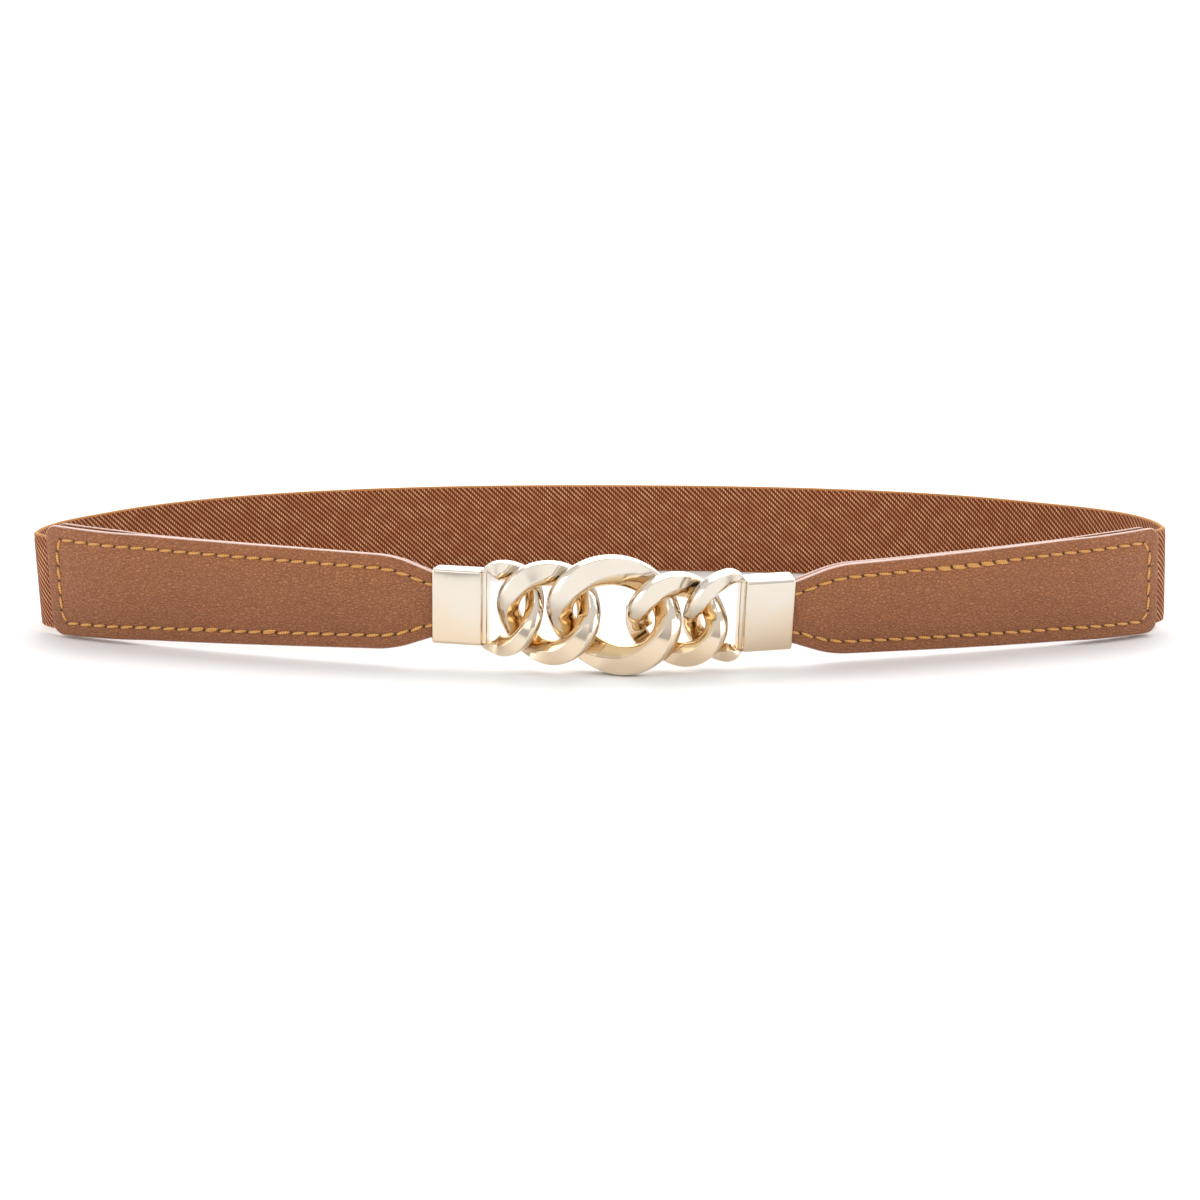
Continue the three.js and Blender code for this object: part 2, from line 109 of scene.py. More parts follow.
def new_object(name: str, data: bpy.types.ID) -> bpy.types.Object:
    """Makes an object of a mesh, a light or a camera and links it into the scene.

    Args:
        name: The object's name.
        data: What it shows.

    Returns:
        The new object, at the origin.
    """
    made = bpy.data.objects.new(name, data)
    bpy.context.scene.collection.objects.link(made)
    return made


def new_piece(name: str, points: Array, faces: list[list[int]], material: bpy.types.Material) -> bpy.types.Object:
    """Puts points and faces into a mesh that shades smoothly, and its object at the origin.

    Args:
        name: The object's name.
        points: Array (..., 3), in metres.
        faces: The corners of each face.
        material: Its finish.

    Returns:
        The new object.
    """
    mesh = bpy.data.meshes.new(name)
    mesh.from_pydata(points.reshape(-1, 3).tolist(), [], faces)
    mesh.polygons.foreach_set("use_smooth", np.ones(len(faces), bool))
    mesh.materials.append(material)
    return new_object(name, mesh)


def settle(piece: bpy.types.Object, slot: str) -> bpy.types.Object:
    """Rides a piece on the belt's one body.

    Args:
        piece: The piece.
        slot: The record's slot; not used.

    Returns:
        The piece.
    """
    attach(piece, "root")
    return piece


@dataclass
class Skin:
    """A closed surface: rings of points carried along a path, in millimetres.

    points is (rows, columns, 3) and each ring is closed. The rows are joined into a torus, or their ends are
    closed with one face each. surface is (rows, columns, 2), the place on the material in millimetres, and
    mirrored marks the columns of faces where its first number changes sign. marks are values from 0 to 1.
    """

    points: Array
    joined: bool = False
    surface: Array | None = None
    mirrored: Array | None = None
    marks: dict[str, Array] = field(default_factory=dict)

    def moved(self, turn: Array, shift: Array) -> "Skin":
        """The same skin turned by a matrix, then shifted."""
        return replace(self, points=self.points @ turn.T + shift)

    def to_object(self, name: str, material: bpy.types.Material) -> bpy.types.Object:
        """Makes the mesh, with faces outwards, and gives it its finish.

        A face is the quad between two neighbours on two rings. The sum of the corners' triple products is
        six times the enclosed volume, and its sign says whether the faces have to be turned round.

        Args:
            name: The piece's name.
            material: Its finish.

        Returns:
            The new object, at the origin.
        """
        rows, columns = self.points.shape[:2]
        i, j = np.meshgrid(np.arange(rows if self.joined else rows - 1), np.arange(columns), indexing="ij")
        corner_rows = np.stack([i, i, i + 1, i + 1], axis=-1)
        corner_columns = np.stack([j, j + 1, j + 1, j], axis=-1)
        quads = ((corner_rows % rows) * columns + corner_columns % columns).reshape(-1, 4)
        flat = self.points.reshape(-1, 3)
        a, b, c, d = (flat[quads[:, k]] for k in range(4))
        inside_out = (a * (np.cross(b, c) + np.cross(c, d))).sum() < 0
        order = [3, 2, 1, 0] if inside_out else [0, 1, 2, 3]
        faces = quads[:, order].tolist()
        if not self.joined:
            first, last = np.arange(columns)[::-1], np.arange(columns) + (rows - 1) * columns
            caps = (first[::-1], last[::-1]) if inside_out else (first, last)
            faces += [cap.tolist() for cap in caps]
        piece = new_piece(name, flat * MM, faces, material)
        mesh = piece.data
        mesh.polygons.foreach_set("use_smooth", np.arange(len(faces)) < len(quads))
        if self.surface is not None:
            wide = np.concatenate([self.surface, self.surface[:, -1:]], axis=1) * MM
            sign = np.ones(columns) if self.mirrored is None else np.where(self.mirrored, -1, 1)
            place = wide[corner_rows % rows, corner_columns]
            place[..., 0] *= sign[None, :, None]
            place = place.reshape(-1, 4, 2)[:, order].reshape(-1, 2)
            layer = mesh.uv_layers.new(name="surface")
            values = np.zeros((len(mesh.loops), 2), np.float32)
            values[: len(place)] = place
            layer.data.foreach_set("uv", values.ravel())
        for mark, amount in self.marks.items():
            attribute = mesh.attributes.new(mark, "FLOAT", "POINT")
            attribute.data.foreach_set("value", np.broadcast_to(amount, (rows, columns)).astype(np.float32).ravel())
        mesh.update()
        return piece


class Shader:
    """A material's node tree, with short calls for the nodes that the finishes use."""

    def __init__(self, name: str, **settings: float | Rgb) -> None:
        """Starts a material.

        Args:
            name: The material's name.
            settings: Numbers and colours for the surface, by socket name with _ for a space.
        """
        self.material = bpy.data.materials.new(name)
        self.material.use_nodes = True
        self.nodes = self.material.node_tree.nodes
        self.links = self.material.node_tree.links
        self.nodes.clear()
        self.surface = self.node("BsdfPrincipled", {key.replace("_", " "): value for key, value in settings.items()})
        self.node("OutputMaterial", {"Surface": self.surface.outputs["BSDF"]})

    def put(self, value: Socket | float | Rgb, socket: Socket) -> None:
        """Links a socket into another, or sets a number or a colour on it.

        Args:
            value: What goes in.
            socket: Where it goes.
        """
        if isinstance(value, Socket):
            self.links.new(value, socket)
        else:
            colour = isinstance(value, tuple) and socket.type == "RGBA"
            socket.default_value = (*value, 1.0) if colour else value

    def node(self, kind: str, inputs: Inputs, **settings: str | bool) -> bpy.types.Node:
        """Adds a node.

        Args:
            kind: Blender's name for it, without ShaderNode.
            inputs: What goes into its sockets, by their names or numbers.
            settings: Its settings, which come before its inputs.

        Returns:
            The node.
        """
        node = self.nodes.new(f"ShaderNode{kind}")
        for key, setting in settings.items():
            setattr(node, key, setting)
        for key, value in inputs.items():
            self.put(value, node.inputs[key])
        return node

    def math(self, operation: str, *values: Socket | float, clamp: bool = False) -> Socket:
        """One Math node, by Blender's name for its operation, kept from 0 to 1 if asked."""
        return self.node("Math", dict(enumerate(values)), operation=operation, use_clamp=clamp).outputs[0]

    def step(self, value: Socket, low: float, high: float, bottom: float = 0.0, top: float = 1.0) -> Socket:
        """A soft step of a value: bottom below low, top above high."""
        inputs = dict(enumerate((value, low, high, bottom, top)))
        return self.node("MapRange", inputs, interpolation_type="SMOOTHSTEP").outputs[0]

    def surface_place(self) -> tuple[Socket, Socket, Socket]:
        """The place on the surface, from the mesh's own map.

        Returns:
            The place in metres: as a vector, along and across.
        """
        place = self.node("UVMap", {}, uv_map="surface").outputs[0]
        along, across, _ = self.node("SeparateXYZ", {0: place}).outputs
        return place, along, across

    def object_place(self) -> Socket:
        """The place in the object's own frame, in metres."""
        return self.node("TexCoord", {}).outputs["Object"]

    def up(self, place: Socket) -> Socket:
        """The height of a place."""
        return self.node("SeparateXYZ", {0: place}).outputs[2]

    def mark(self, name: str) -> Socket:
        """A value that the mesh carries at each point."""
        return self.node("Attribute", {}, attribute_name=name).outputs["Fac"]

    def noise(self, place: Socket, scale: float, detail: float = 2.0, output: str = "Fac") -> Socket:
        """Cloudy noise of scale waves a metre: Fac is one number, Color is three."""
        return self.node("TexNoise", {"Vector": place, "Scale": scale, "Detail": detail}).outputs[output]

    def shifted(self, place: Socket, scale: float, amount: float) -> Socket:
        """A place pushed about by noise, which is first centred on 0.

        Args:
            place: The place.
            scale: Waves of the noise a metre.
            amount: How far it is pushed, in metres.

        Returns:
            The new place.
        """
        noise = self.noise(place, scale, output="Color")
        centred = self.node("VectorMath", {0: noise, 1: (0.5, 0.5, 0.5)}, operation="SUBTRACT").outputs[0]
        inputs = {0: centred, 1: (amount, amount, amount), 2: place}
        return self.node("VectorMath", inputs, operation="MULTIPLY_ADD").outputs[0]

    def scaled(self, place: Socket, factors: Place, turn: float) -> Socket:
        """A place stretched along the axes, then turned about the third one by radians."""
        return self.node("Mapping", {"Vector": place, "Scale": factors, "Rotation": (0.0, 0.0, turn)}).outputs[0]

    def cells(self, place: Socket, scale: float) -> Socket:
        """Distance from the creases between grain cells, in cells of which there are scale a metre."""
        inputs = {"Vector": place, "Scale": scale}
        return self.node("TexVoronoi", inputs, feature="DISTANCE_TO_EDGE").outputs["Distance"]

    def blend(self, amount: Socket | float, first: Socket | Rgb, second: Socket | Rgb) -> Socket:
        """A colour between two colours: the first where amount is 0, the second where it is 1."""
        # the Mix node's sockets 6 and 7 are its colours, and 2 is the colour that it gives
        return self.node("Mix", {"Factor": amount, 6: first, 7: second}, data_type="RGBA").outputs[2]

    def relief(self, height: Socket, depth: float, strength: float = 1.0) -> None:
        """Bends the surface's normal by a height.

        Args:
            height: The height, 0 to 1.
            depth: What 1 stands for, in metres.
            strength: How much of it shows.
        """
        bump = self.node("Bump", {"Strength": strength, "Distance": depth, "Height": height})
        self.put(bump.outputs[0], self.surface.inputs["Normal"])


@dataclass(frozen=True)
class WovenElastic:
    """Stretch webbing in a three-end twill: raised tan threads over a dark ground, ribbed selvedges, painted
    highlights on the thread tops and a painted highlight along both edges.
    """

    column: float = 0.547 * MM
    row: float = 0.516 * MM
    slant: float = 0.7
    ends: float = 3.0
    glint_spread_waves: float = 260.0
    selvedge_from: float = 11.9 * MM
    rim_from: float = 12.35 * MM
    ground: Rgb = linear(98, 46, 26)
    thread: Rgb = linear(216, 138, 86)
    # painted highlight: the pale glint colour on the tops of the threads
    glint: Rgb = linear(250, 190, 132)
    gap: Rgb = linear(138, 80, 44)
    edge: Rgb = linear(206, 142, 84)
    # painted highlight: the pale rim colour along both edges of the band
    rim: Rgb = linear(246, 216, 154)
    relief: float = 0.26 * MM

    def material(self) -> bpy.types.Material:
        """The twill. A thread tops the cloth where column plus row, counted in threes, comes round.

        Returns:
            The finish.
        """
        s = Shader("woven_elastic", Roughness=0.85, Specular_IOR_Level=0.25, Sheen_Weight=0.06)
        place, along, across = s.surface_place()
        columns = s.math("DIVIDE", along, self.column)
        rows = s.math("DIVIDE", across, self.row)
        inside = s.math("FRACT", columns)
        width = s.math("SINE", s.math("MULTIPLY", inside, math.pi))
        stepped = s.math("ADD", s.math("FLOOR", columns), s.math("MULTIPLY", inside, self.slant))
        phase = s.math("FRACT", s.math("DIVIDE", s.math("ADD", stepped, rows), self.ends))
        crest = s.math("SINE", s.math("MULTIPLY", phase, math.pi))
        thread = s.step(crest, 0.42, 0.95)
        height = s.math("MULTIPLY", thread, s.step(width, 0.2, 0.85))
        # painted highlight: noise spreads the glint colour in patches over the thread tops
        glint_spread = s.noise(place, self.glint_spread_waves)
        colour = s.blend(height, self.ground, self.thread)
        shine = s.math("MULTIPLY", s.step(height, 0.6, 1.0), s.step(glint_spread, 0.35, 0.75))
        colour = s.blend(shine, colour, self.glint)
        far = s.math("ABSOLUTE", across)
        ribs = s.step(width, 0.1, 0.9)
        edge = s.step(far, self.selvedge_from, self.selvedge_from + 0.25 * MM)
        # painted highlight: the rim colour lightens the band along both edges
        rim = s.step(far, self.rim_from, self.rim_from + 0.3 * MM)
        cord = s.blend(s.math("MULTIPLY", ribs, 0.9), self.gap, self.edge)
        cord = s.blend(s.math("MULTIPLY", rim, 0.8), cord, self.rim)
        colour = s.blend(edge, colour, cord)
        s.put(colour, s.surface.inputs["Base Color"])
        flat_ribs = s.math("MULTIPLY", ribs, 0.5)
        woven = s.math("MULTIPLY", height, s.math("SUBTRACT", 1.0, edge))
        s.relief(s.math("ADD", woven, s.math("MULTIPLY", flat_ribs, edge)), self.relief)
        return s.material


@dataclass(frozen=True)
class GrainedLeather:
    """Soft tan leather: a fine creased grain, a glossy painted edge whose pale colour is partly painted highlight,
    and needle holes darkened with painted shade.
    """

    name: str = "grained_leather"
    tone: Rgb = linear(180, 114, 70)
    deep: Rgb = linear(116, 68, 39)
    # the edge paint's colour, made pale by a painted highlight
    edge_paint_and_highlight: Rgb = linear(214, 184, 174)
    # painted shade: the dark colour of the needle holes
    hole: Rgb = linear(66, 34, 18)
    relief: float = 0.34 * MM
    wander_waves: float = 420.0
    wander: float = 0.7 * MM
    grain_cells: float = 880.0
    fold_waves: float = 900.0
    cloud_waves: float = 60.0

    def material(self) -> bpy.types.Material:
        """The grain: creases between small stretched cells and cloudy tone, with painted shade that darkens the tab
        towards its bottom.

        Returns:
            The finish.
        """
        s = Shader(self.name, IOR=1.42, Sheen_Weight=0.03)
        place, _, across = s.surface_place()
        bent = s.shifted(place, self.wander_waves, self.wander)
        grain = s.cells(s.scaled(bent, (1.0, 1.7, 1.0), 0.6), self.grain_cells)
        crease = s.step(grain, 0.0, 0.22)
        fold = s.step(s.noise(s.scaled(bent, (1.0, 2.2, 1.0), 0.75), self.fold_waves, 3.0), 0.3, 0.7)
        cloud = s.noise(place, self.cloud_waves)
        # painted shade: the tone darkens towards the bottom of the tab
        low = s.step(across, -13.0 * MM, 9.0 * MM, 0.3, 0.0)
        tone = s.blend(low, self.tone, self.deep)
        tone = s.blend(s.step(cloud, 0.3, 0.75, 0.12, 0.0), tone, self.deep)
        tone = s.blend(s.step(fold, 0.0, 1.0, 0.28, 0.0), tone, self.deep)
        colour = s.blend(s.step(crease, 0.0, 1.0, 0.5, 0.0), tone, self.deep)
        edge = s.mark("edge")
        # edge paint, lightened by a painted highlight along the edge
        colour = s.blend(edge, colour, self.edge_paint_and_highlight)
        # painted shade: the needle holes are darkened spots, with no hole cut
        colour = s.blend(s.mark("hole"), colour, self.hole)
        s.put(colour, s.surface.inputs["Base Color"])
        s.put(s.step(edge, 0.0, 1.0, 0.44, 0.3), s.surface.inputs["Roughness"])
        height = s.math("ADD", s.math("MULTIPLY", crease, 0.5), s.math("MULTIPLY", fold, 0.7))
        height = s.math("MULTIPLY", height, s.step(edge, 0.0, 1.0, 1.0, 0.1))
        s.relief(height, self.relief)
        return s.material


@dataclass(frozen=True)
class WaxedThread:
    """Ochre sewing thread, twisted from two strands."""

    light: Rgb = linear(212, 154, 80)
    dark: Rgb = linear(166, 110, 50)
    strands_along: float = 1300.0
    strands_round: float = 900.0

    def material(self) -> bpy.types.Material:
        """The twist: slanted stripes, counted by a sum of the places along and round the thread.

        Returns:
            The finish.
        """
        s = Shader("waxed_thread", Roughness=0.5)
        _, along, round_it = s.surface_place()
        along = s.math("MULTIPLY", along, self.strands_along)
        turns = s.math("ADD", along, s.math("MULTIPLY", round_it, self.strands_round))
        strand = s.math("SINE", s.math("MULTIPLY", s.math("FRACT", turns), math.pi))
        s.put(s.blend(s.step(strand, 0.0, 0.8), self.dark, self.light), s.surface.inputs["Base Color"])
        s.relief(strand, 0.08 * MM, 0.5)
        return s.material


@dataclass(frozen=True)
class LightGold:
    """Polished light gold plating over cast metal, with painted reflections: a deeper tone on the links' inner walls
    and a warmer one low down.
    """

    colour: Rgb = linear(219, 210, 197)
    # painted reflection: the warmer gold low down, also used for random patches of tone
    warm: Rgb = linear(219, 195, 163)
    # painted reflection: the deeper gold of the inner walls
    deep: Rgb = linear(222, 190, 140)
    warm_below: float = 4.0 * MM
    pale_above: float = 22.0 * MM
    wave_waves: float = 150.0
    patch_waves: float = 90.0

    def material(self) -> bpy.types.Material:
        """A soft mirror with the faint waves of a hand-polished casting.

        Returns:
            The finish.
        """
        s = Shader("light_gold", Metallic=1.0, Roughness=0.13)
        place = s.object_place()
        wave = s.noise(place, self.wave_waves, 1.0)
        # painted reflection: the gold warms towards the bottom, plus random warmer and paler patches
        low = s.step(s.up(place), self.warm_below, self.pale_above, 0.8, 0.0)
        patches = s.step(s.noise(place, self.patch_waves), 0.3, 0.7, -0.15, 0.15)
        reflected_warmth_and_patches = s.math("ADD", low, patches, clamp=True)
        tone = s.blend(reflected_warmth_and_patches, self.colour, self.warm)
        # painted reflection: the inner walls take the deeper gold
        tone = s.blend(s.math("MULTIPLY", s.mark("inner"), 0.8), tone, self.deep)
        s.put(tone, s.surface.inputs["Base Color"])
        s.relief(wave, 0.08 * MM, 0.4)
        return s.material


@dataclass(frozen=True)
class BeltSide:
    """One side of the belt: its tab, the heights and outward leans along it, and the loop's curve beside it.

    The seam is sewn twice in its upper row (1) or its lower row (-1), between distances from the wide end.
    """

    name: str
    sign: int
    tab: float
    end_half: float
    shoulder_half: float
    end_height: float
    cap_height: float
    end_lean: float
    cap_lean: float
    band_drop: float
    bend_y: float
    bend_front: float
    bend_back: float
    neck_handle: float
    back_handle: float
    settle: float
    doubled_row: int
    doubled_spans: tuple[tuple[float, float], ...]


LEFT = BeltSide(
    name="left",
    sign=-1,
    tab=105.2,
    end_half=14.8,
    shoulder_half=11.95,
    end_height=15.6,
    cap_height=16.1,
    end_lean=2.5,
    cap_lean=-3,
    band_drop=1.6,
    bend_y=-9.5,
    bend_front=13,
    bend_back=30,
    neck_handle=40,
    back_handle=105,
    settle=45,
    doubled_row=-1,
    doubled_spans=((37, 47), (57, 63)),
)
RIGHT = BeltSide(
    name="right",
    sign=1,
    tab=101.9,
    end_half=14.0,
    shoulder_half=12.1,
    end_height=14.9,
    cap_height=14.4,
    end_lean=-1.8,
    cap_lean=9,
    band_drop=0,
    bend_y=-8,
    bend_front=13,
    bend_back=31,
    neck_handle=40,
    back_handle=118,
    settle=65,
    doubled_row=1,
    doubled_spans=((46.9, 67.9),),
)


@dataclass(frozen=True)
class Link:
    """A curb link: outer length and height, bar width at its ends and at its top, and how far it draws in.

    A half link also has a crown: the distance from the cap at which it is highest.
    """

    length: float
    height: float
    end_width: float
    top_width: float
    pull: float
    crown: float | None = None

    def share(self) -> float:
        """The stretch of a hooked joint that this link's bar takes up."""
        return self.end_width + self.pull * 0.45


CENTRE_LINK = Link(34.8, 31.1, 6.7, 7.5, 1.7)
SIDE_LINK = Link(26.5, 26.3, 5.8, 6.2, 0.7)
HOOK_LINK = Link(26.6, 24.8, 5.8, 6.2, 1.6)
EYE = Link(30.2, 24.0, 4.7, 4.9, 0.4, crown=4.6)
BAR_DEPTH = 3.5
BAR_SWING = 4.6
LINK_THICKNESS = BAR_DEPTH + BAR_SWING


@dataclass
class Chain:
    """Where the buckle's pieces hang on a gentle bow between the tabs."""

    shift: float = 3.0
    bow: float = 135.0
    foremost: float = -58.7
    set_back: float = 0.48
    gap_cap_side: float = 1.25
    gap_side_centre: float = 0.9
    gap_centre_hook: float = 1.1
    gap_hook_cap: float = 0.8

    @staticmethod
    def step(first: Link, second: Link, gap: float) -> float:
        """The distance between the middles of two links that hook into each other with a gap between."""
        return first.length / 2 + second.length / 2 - first.share() - second.share() - gap

    def stations(self) -> dict[str, float]:
        """Each piece's distance along the bow from the centre link.

        Returns:
            The distances, by piece.
        """
        side = -self.step(CENTRE_LINK, SIDE_LINK, self.gap_side_centre)
        hook = self.step(CENTRE_LINK, HOOK_LINK, self.gap_centre_hook)
        left = side - self.step(SIDE_LINK, EYE, self.gap_cap_side)
        right = hook + self.step(HOOK_LINK, EYE, self.gap_hook_cap)
        return {"left": left, "side": side, "centre": 0.0, "hook": hook, "right": right}

    def place(self, along: float) -> tuple[float, float, float]:
        """A place on the bow, an arc that starts at the front and turns by the distance over its radius.

        Args:
            along: Distance along the bow from its middle.

        Returns:
            x, y and the turn in radians.
        """
        turn = along / self.bow
        front = self.foremost + self.set_back + LINK_THICKNESS / 2
        return self.shift + self.bow * math.sin(turn), front + self.bow * (1 - math.cos(turn)), turn

    def hang(self, skin: Skin, along: float, height: float, lean: float, turned: bool = False) -> Skin:
        """Sets a skin made about its own middle on the bow.

        It is turned half round the front axis if asked, leaned about the long axis, then turned with the bow.

        Args:
            skin: The skin.
            along: Distance along the bow.
            height: Height of its middle.
            lean: Forward lean in degrees.
            turned: Whether it is turned half round, end for end.

        Returns:
            The skin in place.
        """
        x, y, turn = self.place(along)
        c, s = math.cos(turn), math.sin(turn)
        lc, ls = math.cos(math.radians(lean)), math.sin(math.radians(lean))
        about_z = np.array([[c, -s, 0], [s, c, 0], [0, 0, 1]])
        about_x = np.array([[1, 0, 0], [0, lc, -ls], [0, ls, lc]])
        half = np.diag([-1.0, 1.0, -1.0]) if turned else np.eye(3)
        return skin.moved(about_z @ about_x @ half, np.array([x, y, height]))


@dataclass
class Loop:
    """The belt's middle line, from the left cap round the back to the right cap, and how it stands."""

    chain: Chain
    width: float = 295.5
    depth: float = 117.4
    band_width: float = 25.0
    thickness: float = 1.5
    cap: float = 12.9
    pocket: float = 8.0
    apex_x: float = -5.0

    def __post_init__(self) -> None:
        """Samples the line: straight in each pocket, then two cubic curves a side, with distances summed up."""
        stations = self.chain.stations()
        ends = {side.name: self._points(side, stations[side.name]) for side in (LEFT, RIGHT)}
        left, right = ends["left"], ends["right"]
        curves = [left[0:2], left[1:5], left[4:8], right[4:8][::-1], right[1:5][::-1], right[0:2][::-1]]
        points = [self._curve(np.array(control)) for control in curves]
        self.line = np.concatenate([points[0], *[p[1:] for p in points[1:]]])
        gaps = np.linalg.norm(np.diff(self.line, axis=0), axis=1)
        self.distance = np.concatenate([[0], np.cumsum(gaps)])
        self.length = float(self.distance[-1])
        self.tab_end = {"left": self.pocket + LEFT.tab, "right": self.length - self.pocket - RIGHT.tab}

    @staticmethod
    def _curve(control: Array, steps: int = 700) -> Array:
        """Points along a straight line of two controls or a cubic curve of four.

        The cubic weighs its controls by (1 - t)^3, 3t(1 - t)^2, 3t^2(1 - t) and t^3.

        Args:
            control: The controls.
            steps: How many points.

        Returns:
            Array (steps, 2).
        """
        t = np.linspace(0, 1, steps)[:, None]
        if len(control) == 2:
            return control[0] + (control[1] - control[0]) * t
        a, b, c, d = control
        return a * (1 - t) ** 3 + 3 * b * t * (1 - t) ** 2 + 3 * c * t * t * (1 - t) + d * t**3

    def _points(self, side: BeltSide, station: float) -> list[Array]:
        """The side's controls: pocket, mouth, neck, then before, at and after the bend, the back and the apex.

        Args:
            side: The side.
            station: Its cap's distance along the buckle's bow.

        Returns:
            Eight points.
        """
        x, y, turn = self.chain.place(station)
        start, along = np.array([x, y]), side.sign * np.array([math.cos(turn), math.sin(turn)])
        bend_x, back_y = side.sign * (self.width - self.thickness) / 2, (self.depth - self.thickness) / 2
        reaches = (self.cap - self.pocket, self.cap, self.cap + side.neck_handle)
        return [
            *(start + along * reach for reach in reaches),
            np.array([bend_x, side.bend_y - side.bend_front]),
            np.array([bend_x, side.bend_y]),
            np.array([bend_x, side.bend_y + side.bend_back]),
            np.array([self.apex_x + side.sign * side.back_handle, back_y]),
            np.array([self.apex_x, back_y]),
        ]

    def _halves(self, distance: Array) -> list[tuple[BeltSide, Array, Array]]:
        """Each side, the distances from its cap, and which of them lie on its half of the loop."""
        from_left, from_right = distance - self.pocket, self.length - distance - self.pocket
        return [(LEFT, from_left, distance < self.length / 2), (RIGHT, from_right, distance >= self.length / 2)]

    def band_drop(self, distance: Array) -> Array:
        """How much lower than the tab's middle the band lies, fading out behind the tab.

        Args:
            distance: Distances along the middle line.

        Returns:
            The drops, in millimetres.
        """
        drop = np.zeros_like(distance)
        for side, from_cap, here in self._halves(distance):
            drop = np.where(here, side.band_drop * (1 - smooth(from_cap, side.tab, side.tab + side.settle)), drop)
        return drop

    def stand(self, distance: Array) -> tuple[Array, Array, Array]:
        """How the belt stands at distances along the loop.

        The middle line goes from the cap's height to the tab's end, then down to the band's half width. The
        lean goes from the cap's to the tab end's, then to none.

        Args:
            distance: Distances along the middle line.

        Returns:
            The middle line's points, the way up across the belt and the way out of the loop.
        """
        x, y = (np.interp(distance, self.distance, self.line[:, k]) for k in (0, 1))
        step = 0.4
        ahead, behind = (np.clip(distance + d, 0, self.length) for d in (step, -step))
        dx, dy = (
            np.interp(ahead, self.distance, self.line[:, k]) - np.interp(behind, self.distance, self.line[:, k])
            for k in (0, 1)
        )
        size = np.hypot(dx, dy)
        flat = np.stack([-dy / size, dx / size, np.zeros_like(x)], axis=-1)
        height, lean = np.zeros_like(x), np.zeros_like(x)
        for side, from_cap, here in self._halves(distance):
            to_end = smooth(from_cap, 0, side.tab)
            settled = smooth(from_cap, side.tab, side.tab + side.settle)
            level = side.cap_height + (side.end_height - side.cap_height) * to_end
            leaning = side.cap_lean + (side.end_lean - side.cap_lean) * to_end
            height = np.where(here, level + (self.band_width / 2 - level) * settled, height)
            lean = np.where(here, np.radians(leaning) * (1 - settled), lean)
        vertical = np.array([0.0, 0.0, 1.0])
        up = np.cos(lean)[..., None] * vertical + np.sin(lean)[..., None] * flat
        out = np.cos(lean)[..., None] * flat - np.sin(lean)[..., None] * vertical
        return np.stack([x, y, height], axis=-1), up, out


@dataclass
class ElasticBand:
    """The woven band, from inside one tab round the back to inside the other."""

    loop: Loop
    finish: WovenElastic
    overlap: float = 18.0
    rounding: float = 0.55
    thin: float = 0.1
    thin_from: float = 10.4
    thin_to: float = 11.2
    sections: int = 620
    crowding: float = 1.25

    def skin(self) -> Skin:
        """A rounded strip section carried along the loop, a little thinner along its selvedges.

        The points across it crowd towards its edges by a power, and its edges are half circles.

        Returns:
            The band's skin.
        """
        half, out = self.loop.band_width / 2, self.loop.thickness / 2
        flat = np.linspace(-1, 1, 40)
        flat = np.sign(flat) * (1 - (1 - np.abs(flat)) ** self.crowding)
        flat = flat * (half - self.rounding)
        turn = np.linspace(0, np.pi, 11)[1:-1]
        top = np.stack([half - self.rounding + self.rounding * np.sin(turn), out * np.cos(turn)], axis=-1)
        outer = np.stack([flat, np.full_like(flat, out)], axis=-1)
        section = np.concatenate([outer, top, -outer, -top])
        inset = self.thin * smooth(np.abs(section[:, 0]), self.thin_from, self.thin_to)
        section[:, 1] -= np.sign(section[:, 1]) * inset
        start, end = self.loop.tab_end["left"] - self.overlap, self.loop.tab_end["right"] + self.overlap
        distance = np.linspace(start, end, self.sections)
        middle, up, outwards = self.loop.stand(distance)
        across = section[None, :, :1] - self.loop.band_drop(distance)[:, None, None]
        points = middle[:, None] + up[:, None] * across + outwards[:, None] * section[None, :, 1:]
        place = np.stack(np.broadcast_arrays(distance[:, None], section[None, :, 0]), axis=-1)
        outer_face = np.arange(len(section)) < len(flat) + len(turn) // 2
        outer_face |= np.arange(len(section)) >= len(section) - len(turn) // 2 - 1
        return Skin(points, surface=place, mirrored=outer_face)

    def build(self) -> bpy.types.Object:
        """Makes the band and dresses it.

        Returns:
            The band.
        """
        piece = self.skin().to_object("woven_band", self.finish.material())
        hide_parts("elastic_band")
        return settle(piece, "elastic")


class Layer(Enum):
    """The two layers of a tab."""

    FACE = "face"
    LINING = "lining"


@dataclass(frozen=True)
class Cut:
    """A layer's thickness, its padding and how much smaller than the tab it is cut, in millimetres."""

    thickness: float
    padding: float
    smaller: float


CUTS = {Layer.FACE: Cut(1.5, 0.42, 0.0), Layer.LINING: Cut(1.2, 0.1, 0.25)}


